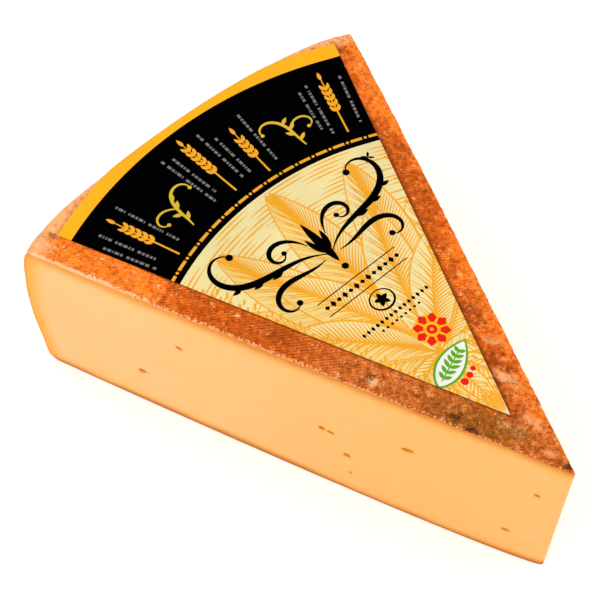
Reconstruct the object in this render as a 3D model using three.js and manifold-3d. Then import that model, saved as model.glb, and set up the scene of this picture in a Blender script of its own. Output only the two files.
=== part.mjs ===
import * as THREE from 'three';
import { mergeVertices } from 'three/addons/utils/BufferGeometryUtils.js';
import Module from 'manifold-3d';

// One eighth of a mountain cheese wheel, in millimetres. While it is shaped, the wheel's
// centre stands at x = 0, y = 0, the front cut runs from there along -X, and the far cut
// leaves at the wedge angle towards +Y.
const wedgeAngle = Math.PI / 4;
const wheelHeight = 107;
const rimRadius = 421.6;
const rimCentreX = 125;
const rimCentreY = -62;
const sideBulge = 5;
const topShoulder = 4;
const bottomShoulder = 6;
// How far the cuts bow outwards: the front cut along its lower and its upper edge, the far
// cut all the way up and only away from the point.
const frontBowLow = 3.4;
const frontBowHigh = 0.5;
const farBow = 0.8;
// The rim stands out a little from its circle near both of its corners.
const frontFullness = 1.25;
const farFullness = 4.2;
// The rim's corner at the front cut is worn back, most along its upper half.
const cornerWear = 1.6;

// Relief of the rind: long swells everywhere, small lumps only on bare rind.
const swellHeight = 0.5;
const swellLength = 95;
const lumpHeight = 0.45;
const lumpLength = 13;
const sideReliefHeight = 0.9;
const sideReliefLength = 24;

// Paper label on the top face. Its corners are given from the wheel's centre.
const labelTip = [-37.5, 15.6];
const labelFrontCorner = [-279.8, 15.4];
const labelFarCorner = [-206.6, 190.8];
const labelArcCentre = [-47.8, 18.9];
const labelArcRadius = 234.1;
const labelGap = 0.3;
const labelThickness = 0.4;
const labelOverhang = 3.2;

// Mesh density.
const stepsOut = 40;
const stepsAcross = 26;
const shoulderSteps = 3;
const sideSteps = 9;
const labelStepsOut = 18;
const labelStepsAcross = 22;
const labelRimSteps = 9;
const labelRimStep = 1;
const eyeDetail = 2;

// Slits and small eyes on the two cuts: distance from the wheel's centre along the cut,
// height, half length, half height, depth and tilt in degrees (its outer end higher).
const frontEyes = [
  [230.6, 32.4, 2.5, 2.0, 2.0, -16],
  [205.7, 73.7, 2.1, 1.5, 1.6, 14],
  [125.6, 53.2, 1.9, 1.8, 1.6, 14],
  [120.6, 52.4, 2.3, 1.4, 1.7, 12],
  [110.8, 35.7, 2.3, 1.7, 1.7, 10],
  [108.3, 18.8, 1.1, 1.0, 0.9, 0],
  [79.8, 66.0, 3.6, 1.8, 2.3, -12],
  [13.3, 72.7, 1.7, 1.5, 1.2, 12],
  [23.3, 25.5, 2.3, 1.5, 1.4, 3],
];
const farEyes = [
  [246.0, 61.0, 3.1, 1.5, 2.0, 5],
  [188.0, 31.5, 2.4, 1.2, 1.8, -7],
  [171.0, 81.0, 3.6, 1.4, 2.2, 9],
  [112.0, 49.0, 2.8, 1.5, 1.9, -5],
  [64.0, 73.5, 1.9, 1.0, 1.4, 4],
  [38.0, 24.0, 1.6, 0.9, 1.2, -3],
];

const cheeseColour = 0xffc27a;
const labelColour = 0xf2e0a4;

function latticeValue(ix, iy, seed) {
  let n = Math.imul(ix + 131 * seed, 374761393) ^ Math.imul(iy + 57 * seed, 668265263);
  n = Math.imul(n ^ (n >>> 13), 1274126177);
  return ((n ^ (n >>> 16)) >>> 0) / 2147483648 - 1;
}

function easeStep(t) {
  const c = Math.min(1, Math.max(0, t));
  return c * c * (3 - 2 * c);
}

// Smooth noise between -1 and 1 with lumps of about one length.
function lumps(x, y, length, seed) {
  const gx = x / length;
  const gy = y / length;
  const ix = Math.floor(gx);
  const iy = Math.floor(gy);
  const fx = easeStep(gx - ix);
  const fy = easeStep(gy - iy);
  const low = latticeValue(ix, iy, seed) * (1 - fx) + latticeValue(ix + 1, iy, seed) * fx;
  const high = latticeValue(ix, iy + 1, seed) * (1 - fx) + latticeValue(ix + 1, iy + 1, seed) * fx;
  return low * (1 - fy) + high * fy;
}

// How far a point of the top face lies inside the label's outline, negative outside.
function depthUnderLabel(x, y) {
  const fromFront = distanceFromLine(labelTip, labelFrontCorner, x, y);
  const fromFar = -distanceFromLine(labelTip, labelFarCorner, x, y);
  const fromArc = labelArcRadius - Math.hypot(x - labelArcCentre[0], y - labelArcCentre[1]);
  return Math.min(fromFront, fromFar, fromArc);
}

function distanceFromLine(from, to, x, y) {
  const length = Math.hypot(to[0] - from[0], to[1] - from[1]);
  const dx = (to[0] - from[0]) / length;
  const dy = (to[1] - from[1]) / length;
  return dy * (x - from[0]) - dx * (y - from[1]);
}

function topRelief(x, y) {
  const swell = swellHeight * lumps(x, y, swellLength, 3);
  const bare = easeStep((-depthUnderLabel(x, y) - 2) / 4);
  return swell + bare * lumpHeight * lumps(x, y, lumpLength, 7);
}

function sideRelief(along, z) {
  const fade = easeStep(z / 14) * easeStep((wheelHeight - z) / 14);
  return fade * sideReliefHeight * lumps(along, z, sideReliefLength, 11);
}

// The side swells out between the two shoulders.
function bulgeAt(z) {
  const fromMiddle = (2 * z - wheelHeight) / wheelHeight;
  return sideBulge * (1 - fromMiddle * fromMiddle);
}

function directionAt(v) {
  const angle = Math.PI - v * wedgeAngle;
  return [Math.cos(angle), Math.sin(angle)];
}

// How far the rim stands out of its circle; v is 0 at the front cut and 1 at the far cut.
function fullnessAt(v) {
  const nearFront = v > 0 && v < 0.27 ? Math.sin(Math.PI * v / 0.27) ** 2 : 0;
  const s = Math.min(1, Math.max(0, (v - 0.4) / 0.6));
  return frontFullness * nearFront + farFullness * s ** 1.5 * (1 - 0.9 * s ** 8);
}

function wearAt(v, z) {
  const upper = easeStep((z / wheelHeight - 0.35) / 0.5);
  return cornerWear * (0.2 + 0.8 * upper) * (1 - easeStep(v / 0.035));
}

// Distance from the wheel's centre to the rim's circle of one radius, with its fullness.
function reach(v, radius) {
  const [dx, dy] = directionAt(v);
  const along = dx * rimCentreX + dy * rimCentreY;
  const rest = rimCentreX * rimCentreX + rimCentreY * rimCentreY - radius * radius;
  return along + Math.sqrt(along * along - rest) + fullnessAt(v);
}

// The wire bows the cuts outwards: the lower edge of the front cut most, and nearer its point.
function bowAt(u, v, z) {
  const even = 4 * u * (1 - u);
  const nearPoint = u ** 0.45 * (1 - u) / 0.4074;
  const w = z / wheelHeight;
  const front = ((1 - w) * frontBowLow * nearPoint + w * frontBowHigh * even) * (1 - v);
  const far = farBow * easeStep(u / 0.6) * Math.sqrt(1 - u ** 6) * v;
  return [far * Math.sin(wedgeAngle), -front + far * Math.cos(wedgeAngle)];
}

function flatPoint(u, v, radius, z) {
  const [dx, dy] = directionAt(v);
  const distance = u * (reach(v, radius) - wearAt(v, z));
  const [bowX, bowY] = bowAt(u, v, z);
  return [dx * distance + bowX, dy * distance + bowY, z];
}

function topPoint(u, v) {
  const point = flatPoint(u, v, rimRadius - topShoulder, wheelHeight);
  point[2] += topRelief(point[0], point[1]);
  return point;
}

function bottomPoint(u, v) {
  return flatPoint(u, v, rimRadius - bottomShoulder, 0);
}

// Rows of the side from the underside to the top face: inset from the rim and height.
function sideRows() {
  const rows = [];
  for (let k = 0; k < shoulderSteps; k += 1) {
    const a = (k / shoulderSteps) * Math.PI / 2;
    rows.push([bottomShoulder * (1 - Math.sin(a)), bottomShoulder * (1 - Math.cos(a))]);
  }
  const low = bottomShoulder;
  const high = wheelHeight - topShoulder;
  for (let k = 0; k < sideSteps; k += 1) {
    rows.push([0, low + (high - low) * k / sideSteps]);
  }
  for (let k = 0; k <= shoulderSteps; k += 1) {
    const a = (k / shoulderSteps) * Math.PI / 2;
    rows.push([topShoulder * (1 - Math.cos(a)), high + topShoulder * Math.sin(a)]);
  }
  return rows;
}

const rows = sideRows();

function sidePoint(k, v) {
  const [inset, z] = rows[k];
  const along = rimRadius * v * wedgeAngle;
  const point = flatPoint(1, v, rimRadius - inset + bulgeAt(z) + sideRelief(along, z), z);
  const nearTop = easeStep((z - 0.8 * wheelHeight) / (0.2 * wheelHeight));
  const edge = flatPoint(1, v, rimRadius - topShoulder, wheelHeight);
  point[2] += nearTop * topRelief(edge[0], edge[1]);
  return point;
}

function tipPoint(k) {
  const top = topPoint(0, 0);
  return [0, 0, top[2] * rows[k][1] / wheelHeight];
}

// A cut face is filled in between its four edges.
function cutPoint(u, k, v) {
  const w = rows[k][1] / wheelHeight;
  const low = bottomPoint(u, v);
  const high = topPoint(u, v);
  const tip = tipPoint(k);
  const rim = sidePoint(k, v);
  const corners = [bottomPoint(0, v), topPoint(0, v), bottomPoint(1, v), topPoint(1, v)];
  return [0, 1, 2].map((i) => {
    const between = (1 - w) * low[i] + w * high[i] + (1 - u) * tip[i] + u * rim[i];
    const inner = (1 - w) * ((1 - u) * corners[0][i] + u * corners[2][i]);
    const outer = w * ((1 - u) * corners[1][i] + u * corners[3][i]);
    return between - inner - outer;
  });
}

// Collects triangles whose corners are shared wherever two points meet.
class Shell {
  constructor() {
    this.points = [];
    this.triangles = [];
    this.seen = new Map();
  }

  corner(point) {
    const key = point.map((value) => Math.round(value * 1e4)).join(' ');
    if (!this.seen.has(key)) {
      this.seen.set(key, this.points.length);
      this.points.push(point);
    }
    return this.seen.get(key);
  }

  triangle(a, b, c) {
    if (a !== b && b !== c && c !== a) {
      this.triangles.push([a, b, c]);
    }
  }

  // A grid of points, turned over when it has to face the other way.
  sheet(pointAt, columns, lines, turned) {
    for (let i = 0; i < columns; i += 1) {
      for (let j = 0; j < lines; j += 1) {
        const a = this.corner(pointAt(i, j));
        const b = this.corner(pointAt(i + 1, j));
        const c = this.corner(pointAt(i + 1, j + 1));
        const d = this.corner(pointAt(i, j + 1));
        if (turned) {
          this.triangle(a, c, b);
          this.triangle(a, d, c);
        } else {
          this.triangle(a, b, c);
          this.triangle(a, c, d);
        }
      }
    }
  }
}

// Lines across the wedge stand closer together near the two cuts.
function across(j) {
  const even = j / stepsAcross;
  const bunched = 0.5 * (1 - Math.cos(Math.PI * even));
  return 0.45 * even + 0.55 * bunched;
}

function out(i) {
  return i / stepsOut;
}

function wedgeShell() {
  const shell = new Shell();
  const last = rows.length - 1;
  shell.sheet((i, j) => topPoint(out(i), across(j)), stepsOut, stepsAcross, true);
  shell.sheet((i, j) => bottomPoint(out(i), across(j)), stepsOut, stepsAcross, false);
  shell.sheet((i, k) => cutPoint(out(i), k, 0), stepsOut, last, true);
  shell.sheet((i, k) => cutPoint(out(i), k, 1), stepsOut, last, false);
  shell.sheet((j, k) => sidePoint(k, across(j)), stepsAcross, last, true);
  return shell;
}

// A point of the label follows the top face, and past the rim it rolls over the shoulder.
function labelSurface(x, y, lift) {
  const fromX = x - rimCentreX;
  const fromY = y - rimCentreY;
  const radius = Math.hypot(fromX, fromY);
  const flatEnd = rimRadius - topShoulder + fullnessAt(shareAt(x, y));
  const beyond = radius - flatEnd;
  if (beyond <= 0) {
    return [x, y, wheelHeight + topRelief(x, y) + lift];
  }
  const turn = Math.min(beyond / topShoulder, Math.PI / 2);
  const drop = Math.max(0, beyond - topShoulder * Math.PI / 2);
  const z = wheelHeight - topShoulder * (1 - Math.cos(turn)) - drop;
  const ring = flatEnd + topShoulder * Math.sin(turn) + bulgeAt(z) + lift * Math.sin(turn);
  const edgeX = rimCentreX + fromX * flatEnd / radius;
  const edgeY = rimCentreY + fromY * flatEnd / radius;
  return [
    rimCentreX + fromX * ring / radius,
    rimCentreY + fromY * ring / radius,
    z + topRelief(edgeX, edgeY) + lift * Math.cos(turn),
  ];
}

// The share of the wedge's angle at which a point lies.
function shareAt(x, y) {
  return (Math.PI - Math.atan2(y, x)) / wedgeAngle;
}

function labelReach(dx, dy) {
  const toArc = distanceToCircle(dx, dy, labelArcCentre[0], labelArcCentre[1], labelArcRadius);
  const overRim = rimRadius + labelOverhang;
  const toRim = distanceToCircle(dx, dy, rimCentreX, rimCentreY, overRim);
  const v = shareAt(labelTip[0] + dx * toRim, labelTip[1] + dy * toRim);
  return Math.min(toArc, toRim + fullnessAt(v));
}

function distanceToCircle(dx, dy, centreX, centreY, radius) {
  const fromX = centreX - labelTip[0];
  const fromY = centreY - labelTip[1];
  const along = dx * fromX + dy * fromY;
  return along + Math.sqrt(along * along - fromX * fromX - fromY * fromY + radius * radius);
}

function angleFromTip(corner) {
  return Math.atan2(corner[1] - labelTip[1], corner[0] - labelTip[0]);
}

function labelPoint(i, j, lift) {
  const start = angleFromTip(labelFrontCorner);
  const end = angleFromTip(labelFarCorner);
  const from = start < 0 ? start + 2 * Math.PI : start;
  const angle = from + (end - from) * j / labelStepsAcross;
  const dx = Math.cos(angle);
  const dy = Math.sin(angle);
  const whole = labelReach(dx, dy);
  const toRimSteps = (whole - labelRimSteps * labelRimStep) * i / labelStepsOut;
  const inRimSteps = whole - (labelStepsOut + labelRimSteps - i) * labelRimStep;
  const distance = i <= labelStepsOut ? toRimSteps : inRimSteps;
  return labelSurface(labelTip[0] + dx * distance, labelTip[1] + dy * distance, lift);
}

function labelShell() {
  const shell = new Shell();
  const outward = labelStepsOut + labelRimSteps;
  const lift = (n) => labelGap + n * labelThickness;
  shell.sheet((i, j) => labelPoint(i, j, lift(1)), outward, labelStepsAcross, true);
  shell.sheet((i, j) => labelPoint(i, j, lift(0)), outward, labelStepsAcross, false);
  shell.sheet((i, n) => labelPoint(i, 0, lift(n)), outward, 1, true);
  shell.sheet((i, n) => labelPoint(i, labelStepsAcross, lift(n)), outward, 1, false);
  shell.sheet((j, n) => labelPoint(outward, j, lift(n)), labelStepsAcross, 1, true);
  return shell;
}

const wasm = await Module();
wasm.setup();

function solidFrom(positions, indices) {
  return new wasm.Manifold(new wasm.Mesh({
    numProp: 3,
    vertProperties: Float32Array.from(positions),
    triVerts: Uint32Array.from(indices),
  }));
}

function solidOf(shell) {
  return solidFrom(shell.points.flat(), shell.triangles.flat());
}

// A slit is a small flattened ball sunk into the cut.
function eyeSolid(eye, v) {
  const [along, height, halfLength, halfHeight, depth, tilt] = eye;
  const [dx, dy] = directionAt(v);
  const [bowX, bowY] = bowAt(along / reach(v, rimRadius), v, height);
  const ball = new THREE.IcosahedronGeometry(1, eyeDetail);
  ball.deleteAttribute('normal');
  ball.deleteAttribute('uv');
  ball.scale(halfLength, depth, halfHeight);
  ball.rotateY(THREE.MathUtils.degToRad(-tilt));
  ball.rotateZ(Math.PI - v * wedgeAngle);
  ball.translate(dx * along + bowX, dy * along + bowY, height);
  const welded = mergeVertices(ball);
  return solidFrom(welded.attributes.position.array, welded.index.array);
}

function geometryOf(solid) {
  const mesh = solid.getMesh();
  const geometry = new THREE.BufferGeometry();
  geometry.setAttribute('position', new THREE.BufferAttribute(mesh.vertProperties, 3));
  geometry.setIndex(new THREE.BufferAttribute(mesh.triVerts, 1));
  geometry.computeVertexNormals();
  return geometry;
}

function namedMesh(name, geometry, colour) {
  const material = new THREE.MeshStandardMaterial({ color: colour, roughness: 0.6 });
  material.name = name;
  const mesh = new THREE.Mesh(geometry, material);
  mesh.name = name;
  return mesh;
}

const eyes = [
  ...frontEyes.map((eye) => eyeSolid(eye, 0)),
  ...farEyes.map((eye) => eyeSolid(eye, 1)),
];
const wedge = eyes.reduce((solid, eye) => solid.subtract(eye), solidOf(wedgeShell()));
const wedgeGeometry = geometryOf(wedge);
const labelGeometry = geometryOf(solidOf(labelShell()));

// The origin goes to the middle of the underside's outline.
wedgeGeometry.computeBoundingBox();
const middle = wedgeGeometry.boundingBox.getCenter(new THREE.Vector3());
wedgeGeometry.translate(-middle.x, -middle.y, 0);
labelGeometry.translate(-middle.x, -middle.y, 0);

const group = new THREE.Group();
group.add(namedMesh('cheese_wedge', wedgeGeometry, cheeseColour));
group.add(namedMesh('label', labelGeometry, labelColour));

export default group;
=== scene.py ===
import math
from functools import reduce

import bmesh
import bpy
import numpy as np
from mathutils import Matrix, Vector
from mathutils.geometry import delaunay_2d_cdt


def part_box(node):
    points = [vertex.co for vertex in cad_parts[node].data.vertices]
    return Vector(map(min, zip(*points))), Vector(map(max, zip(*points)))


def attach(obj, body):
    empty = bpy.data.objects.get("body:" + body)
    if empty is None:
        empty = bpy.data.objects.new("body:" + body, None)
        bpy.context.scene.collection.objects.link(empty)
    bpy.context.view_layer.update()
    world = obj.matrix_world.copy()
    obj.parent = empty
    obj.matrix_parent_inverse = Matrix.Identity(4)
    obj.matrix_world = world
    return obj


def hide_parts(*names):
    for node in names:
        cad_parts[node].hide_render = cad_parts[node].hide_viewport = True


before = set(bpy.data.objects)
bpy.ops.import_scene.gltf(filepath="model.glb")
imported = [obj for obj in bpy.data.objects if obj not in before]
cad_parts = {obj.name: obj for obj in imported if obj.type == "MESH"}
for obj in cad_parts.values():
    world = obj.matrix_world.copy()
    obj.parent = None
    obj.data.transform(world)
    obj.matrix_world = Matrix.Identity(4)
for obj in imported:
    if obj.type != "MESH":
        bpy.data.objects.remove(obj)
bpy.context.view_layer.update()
scene = bpy.context.scene

# The wedge's form in millimetres, measured from the middle of the wheel, which is the wedge's point.
# The front cut runs from there along -X and the far cut towards +Y, as in the solid.
wheel = {
    "wedgeAngle": math.pi / 4,
    "height": 107.0,
    "rimRadius": 421.6,
    "rimCentre": (125.0, -62.0),
    "sideBulge": 5.0,
    "topShoulder": 4.0,
    "bottomShoulder": 6.0,
    "frontBowLow": 3.4,        # the front cut's bow along its lower edge and its upper edge
    "frontBowHigh": 0.5,
    "farBow": 0.8,
    "frontFullness": 1.25,     # how far the rim stands out of its circle near its two corners
    "farFullness": 4.2,
    "cornerWear": 1.6,         # how far the rim's corner at the front cut is worn back
    "swellHeight": 0.5,
    "swellLength": 95.0,
    "lumpHeight": 0.45,
    "lumpLength": 13.0,
    "sideReliefHeight": 0.9,
    "sideReliefLength": 24.0,
}

labelForm = {
    "tip": (-37.5, 15.6),
    "frontCorner": (-279.8, 15.4),
    "farCorner": (-206.6, 190.8),
    "arcCentre": (-47.8, 18.9),
    "arcRadius": 234.1,
    "blackRadius": 224.7,      # the yellow band lies outside this circle
    "creamRadius": 163.2,      # and the cream field inside this one
    "frontTrim": 1.6,          # the paper is cut a little short towards its front corner
    "overhang": 3.2,           # how far the paper rolls over the rim's shoulder
    "lift": 0.2,
    "thickness": 0.16,
    "farEdgeLift": 0.45,       # the far edge has come off the rind a little
    "gridStep": 3.0,
}

lowCorner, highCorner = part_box("cheese_wedge")
tipX = highCorner.x * 1000
tipY = lowCorner.y * 1000 + wheel["frontBowLow"]
height = wheel["height"]


def toMetres(points):
    return (np.asarray(points, float) + (tipX, tipY, 0)) * 0.001


def newObject(name, data):
    made = bpy.data.objects.new(name, data)
    scene.collection.objects.link(made)
    return made


# Smooth noise from a lattice of fixed values, the same as in the solid.
def latticeValue(ix, iy, seed):
    first = (ix.astype(np.int64) + 131 * seed).astype(np.uint32) * np.uint32(374761393)
    second = (iy.astype(np.int64) + 57 * seed).astype(np.uint32) * np.uint32(668265263)
    n = first ^ second
    n = (n ^ (n >> np.uint32(13))) * np.uint32(1274126177)
    return (n ^ (n >> np.uint32(16))) / 2147483648.0 - 1


def easeStep(t):
    c = np.clip(t, 0, 1)
    return c * c * (3 - 2 * c)


def lumps(x, y, length, seed):
    gx = np.asarray(x) / length
    gy = np.asarray(y) / length
    ix = np.floor(gx)
    iy = np.floor(gy)
    fx = easeStep(gx - ix)
    fy = easeStep(gy - iy)
    low = latticeValue(ix, iy, seed) * (1 - fx) + latticeValue(ix + 1, iy, seed) * fx
    high = latticeValue(ix, iy + 1, seed) * (1 - fx) + latticeValue(ix + 1, iy + 1, seed) * fx
    return low * (1 - fy) + high * fy


# Several sizes of lumps together, turned against each other so that no lattice shows.
def crumble(x, y, length, seed):
    total = 0
    share = 0
    for layer in range(3):
        turn = 0.7 + 1.9 * layer
        rx = x * math.cos(turn) - y * math.sin(turn)
        ry = x * math.sin(turn) + y * math.cos(turn)
        weight = 0.6 ** layer
        total = total + weight * lumps(rx, ry, length * 0.5 ** layer, seed + layer)
        share += weight
    return total / share


# Distance from each point to the nearest of many scattered spots, and that spot's own number 0 to 1.
def scattered(x, y, cell, seed):
    cx = np.floor(x / cell)
    cy = np.floor(y / cell)
    nearest = np.full(np.shape(x), 1e9)
    number = np.zeros(np.shape(x))
    for stepX in (-1, 0, 1):
        for stepY in (-1, 0, 1):
            ix = cx + stepX
            iy = cy + stepY
            spotX = (ix + 0.5 + 0.45 * latticeValue(ix, iy, seed)) * cell
            spotY = (iy + 0.5 + 0.45 * latticeValue(ix, iy, seed + 1)) * cell
            far = np.hypot(x - spotX, y - spotY)
            closer = far < nearest
            nearest = np.where(closer, far, nearest)
            number = np.where(closer, 0.5 + 0.5 * latticeValue(ix, iy, seed + 2), number)
    return nearest, number


def distanceFromLine(start, end, x, y):
    length = math.hypot(end[0] - start[0], end[1] - start[1])
    dx = (end[0] - start[0]) / length
    dy = (end[1] - start[1]) / length
    return dy * (x - start[0]) - dx * (y - start[1])


# How far a point of the top lies inside the label's outline, negative outside.
def underFront(x, y):
    return distanceFromLine(labelForm["tip"], labelForm["frontCorner"], x, y)


def underFar(x, y):
    return -distanceFromLine(labelForm["tip"], labelForm["farCorner"], x, y)


def underLabel(x, y):
    centre = labelForm["arcCentre"]
    fromArc = labelForm["arcRadius"] - np.hypot(x - centre[0], y - centre[1])
    return np.minimum(np.minimum(underFront(x, y), underFar(x, y)), fromArc)


def topRelief(x, y):
    swell = wheel["swellHeight"] * lumps(x, y, wheel["swellLength"], 3)
    bare = easeStep((-underLabel(x, y) - 2) / 4)
    return swell + bare * wheel["lumpHeight"] * lumps(x, y, wheel["lumpLength"], 7)


def directionAt(v):
    angle = math.pi - np.asarray(v, float) * wheel["wedgeAngle"]
    return np.cos(angle), np.sin(angle)


# How far the rim stands out of its circle; v is 0 at the front cut and 1 at the far cut.
def fullnessAt(v):
    nearFront = np.sin(math.pi * np.clip(np.asarray(v, float) / 0.27, 0, 1)) ** 2
    s = np.clip((np.asarray(v, float) - 0.4) / 0.6, 0, 1)
    return wheel["frontFullness"] * nearFront + wheel["farFullness"] * s ** 1.5 * (1 - 0.9 * s ** 8)


def wearAt(v, z):
    upper = easeStep((z / height - 0.35) / 0.5)
    return wheel["cornerWear"] * (0.2 + 0.8 * upper) * (1 - easeStep(np.asarray(v, float) / 0.035))


# Distance from the wheel's middle to the rim's circle of one radius, with its fullness and its wear.
def reach(v, radius, z):
    dx, dy = directionAt(v)
    cx, cy = wheel["rimCentre"]
    along = dx * cx + dy * cy
    whole = along + np.sqrt(along ** 2 - cx ** 2 - cy ** 2 + np.asarray(radius, float) ** 2)
    return whole + fullnessAt(v) - wearAt(v, z)


def fromRimCentre(x, y):
    away = np.hypot(x - wheel["rimCentre"][0], y - wheel["rimCentre"][1])
    return away - fullnessAt((math.pi - np.arctan2(y, x)) / wheel["wedgeAngle"])


def bulgeAt(z):
    fromMiddle = (2 * z - height) / height
    return wheel["sideBulge"] * (1 - fromMiddle ** 2)


# The wire bows each cut outwards: the front cut's lower edge most, and nearer its point.
def bowAt(distance, z, v):
    u = np.clip(distance / reach(v, wheel["rimRadius"] - wheel["bottomShoulder"], z), 0, 1)
    even = 4 * u * (1 - u)
    if v:
        return wheel["farBow"] * easeStep(u / 0.6) * np.sqrt(1 - u ** 6)
    peak = 0.4074              # the curve's greatest value, so that the bow is as deep as it says
    nearPoint = u ** 0.45 * (1 - u) / peak
    w = z / height
    return (1 - w) * wheel["frontBowLow"] * nearPoint + w * wheel["frontBowHigh"] * even


def cutNormal(v):
    dx, dy = directionAt(v)
    return (dy, -dx) if v else (-dy, dx)


def cutPoints(distance, z, v, outward=0):
    dx, dy = directionAt(v)
    nx, ny = cutNormal(v)
    away = bowAt(distance, z, v) + outward
    return np.column_stack((dx * distance + nx * away, dy * distance + ny * away, z + 0 * distance))


bottomTurn = wheel["bottomShoulder"] * math.pi / 2
topTurn = wheel["topShoulder"] * math.pi / 2
straightRun = height - wheel["bottomShoulder"] - wheel["topShoulder"]
sideLength = bottomTurn + straightRun + topTurn
arcShare = 0.72                # the rim's length as a share of a full arc of its radius
rimArc = wheel["rimRadius"] * wheel["wedgeAngle"] * arcShare


# The side's section from the underside up: radius, height, and how much its face looks up.
# A shell that lies deeper by some inset has the same section, only smaller.
def sideSection(t, inset=0):
    low = wheel["bottomShoulder"]
    high = wheel["topShoulder"]
    a = np.clip(t / low, 0, math.pi / 2)
    b = np.clip((t - bottomTurn - straightRun) / high, 0, math.pi / 2)
    within = np.where(t < bottomTurn, low - (low - inset) * np.sin(a),
                      np.where(b > 0, high - (high - inset) * np.cos(b), inset))
    z = np.where(t < bottomTurn, low - (low - inset) * np.cos(a),
                 np.where(b > 0, height - high + (high - inset) * np.sin(b), low + t - bottomTurn))
    looksUp = np.where(t < bottomTurn, a - math.pi / 2, b)
    return wheel["rimRadius"] - within + bulgeAt(z), z, looksUp


# Meshes are filled in flat, with points as close as the surface needs, and then bent into place.
def hexPoints(low, high, spacing, seed):
    rowShare = 0.866           # from row to row, for triangles of even sides
    columns = int((high[0] - low[0]) / spacing) + 2
    rows = int((high[1] - low[1]) / (spacing * rowShare)) + 2
    i, j = np.meshgrid(np.arange(columns), np.arange(rows))
    x = low[0] + (i + 0.5 * (j % 2)) * spacing
    y = low[1] + j * spacing * rowShare
    points = np.column_stack((x.ravel(), y.ravel()))
    shake = np.random.default_rng(seed).uniform(-0.1, 0.1, points.shape)
    return points + shake * spacing


# Points inside an outline, each twice as far apart as the last kind where the spacing asked for allows it.
def gradedPoints(outline, spacingAt, insideAt, finest, seed):
    coarsest = 60
    chosen = []
    spacing = finest
    while spacing < coarsest:
        points = hexPoints(outline.min(0), outline.max(0), spacing, seed)
        wanted = spacingAt(points[:, 0], points[:, 1])
        keep = (wanted < 2 * spacing) & ((wanted >= spacing) | (spacing == finest))
        points = points[keep]
        chosen.append(points[insideAt(points[:, 0], points[:, 1]) > 0.6 * spacing])
        spacing *= 2
    return np.vstack(chosen)


def evenly(spacing):
    return lambda x, y: spacing + 0 * x


def fillOutline(outline, inner):
    given = np.vstack((outline, inner))
    corners = [Vector(p) for p in given.tolist()]
    loop = list(range(len(outline)))
    found, _, faces, sources, _, _ = delaunay_2d_cdt(corners, [], [loop], 1, 1e-6)
    flat = np.array([tuple(p) for p in found])
    for index, source in enumerate(sources):
        if source:
            flat[index] = given[source[0]]
    return flat, np.array(faces)


def counterClockwise(outline):
    nextPoint = np.roll(outline, -1, axis=0)
    area = np.sum(outline[:, 0] * nextPoint[:, 1] - outline[:, 1] * nextPoint[:, 0])
    return outline if area > 0 else outline[::-1]


# Sheets that share an outline are joined there: plain places decide what belongs together,
# and the first sheet in the list gives the joined corner its shaped place and its masks.
def joinSheets(name, sheets, masks):
    plain = np.vstack([sheet["plain"] for sheet in sheets])
    shaped = np.vstack([sheet["shaped"] for sheet in sheets])
    cells = 400                # to the millimetre; corners in one cell are one corner
    shift = 0.137              # keeps round numbers off the cells' borders
    key = np.round(plain * cells + shift).astype(np.int64)
    _, first, home = np.unique(key, axis=0, return_index=True, return_inverse=True)
    home = home.ravel()
    start = 0
    faces = []
    for sheet in sheets:
        faces.append(home[sheet["faces"] + start])
        start += len(sheet["plain"])
    faces = np.vstack(faces)
    differ = (faces[:, 0] != faces[:, 1]) & (faces[:, 1] != faces[:, 2]) & (faces[:, 2] != faces[:, 0])
    faces = faces[differ]
    values = {}
    for mask in masks:
        values[mask] = np.concatenate([
            np.broadcast_to(sheet.get(mask, 0.0), len(sheet["plain"])) for sheet in sheets])[first]
    return meshObject(name, toMetres(shaped[first]), faces, values)


def meshObject(name, points, faces, values):
    used, faces = np.unique(faces, return_inverse=True)
    faces = faces.reshape(-1, 3)
    points = points[used]
    values = {mask: numbers[used] for mask, numbers in values.items()}
    mesh = bpy.data.meshes.new(name)
    mesh.from_pydata(points.tolist(), [], faces.tolist())
    for mask, numbers in values.items():
        attribute = mesh.attributes.new(mask, "FLOAT", "POINT")
        attribute.data.foreach_set("value", np.asarray(numbers, np.float32))
    mesh.polygons.foreach_set("use_smooth", np.ones(len(mesh.polygons), bool))
    return newObject(name, mesh)


def turnOutward(piece):
    work = bmesh.new()
    work.from_mesh(piece.data)
    bmesh.ops.recalc_face_normals(work, faces=work.faces)
    openEdges = [edge for edge in work.edges if len(edge.link_faces) != 2]
    print(f"{piece.name}: {len(work.faces)} faces, {len(openEdges)} open edges")
    work.to_mesh(piece.data)
    work.free()


def evenSteps(length, step):
    return np.linspace(0, 1, max(2, int(round(length / step))) + 1)


# Outlines shared by the sheets of one shell.
def levelRadius(bottom, inset):
    shoulder = wheel["bottomShoulder"] if bottom else wheel["topShoulder"]
    return wheel["rimRadius"] - shoulder + bulgeAt(inset)


def edgeDistances(v, inset, bottom, step):
    whole = float(reach(v, levelRadius(bottom, inset), inset if bottom else height - inset))
    return whole * evenSteps(whole, step)


def sectionSteps(step):
    return np.concatenate((bottomTurn * evenSteps(bottomTurn, step)[:-1],
                           bottomTurn + straightRun * evenSteps(straightRun, step)[:-1],
                           bottomTurn + straightRun + topTurn * evenSteps(topTurn, step)))


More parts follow.
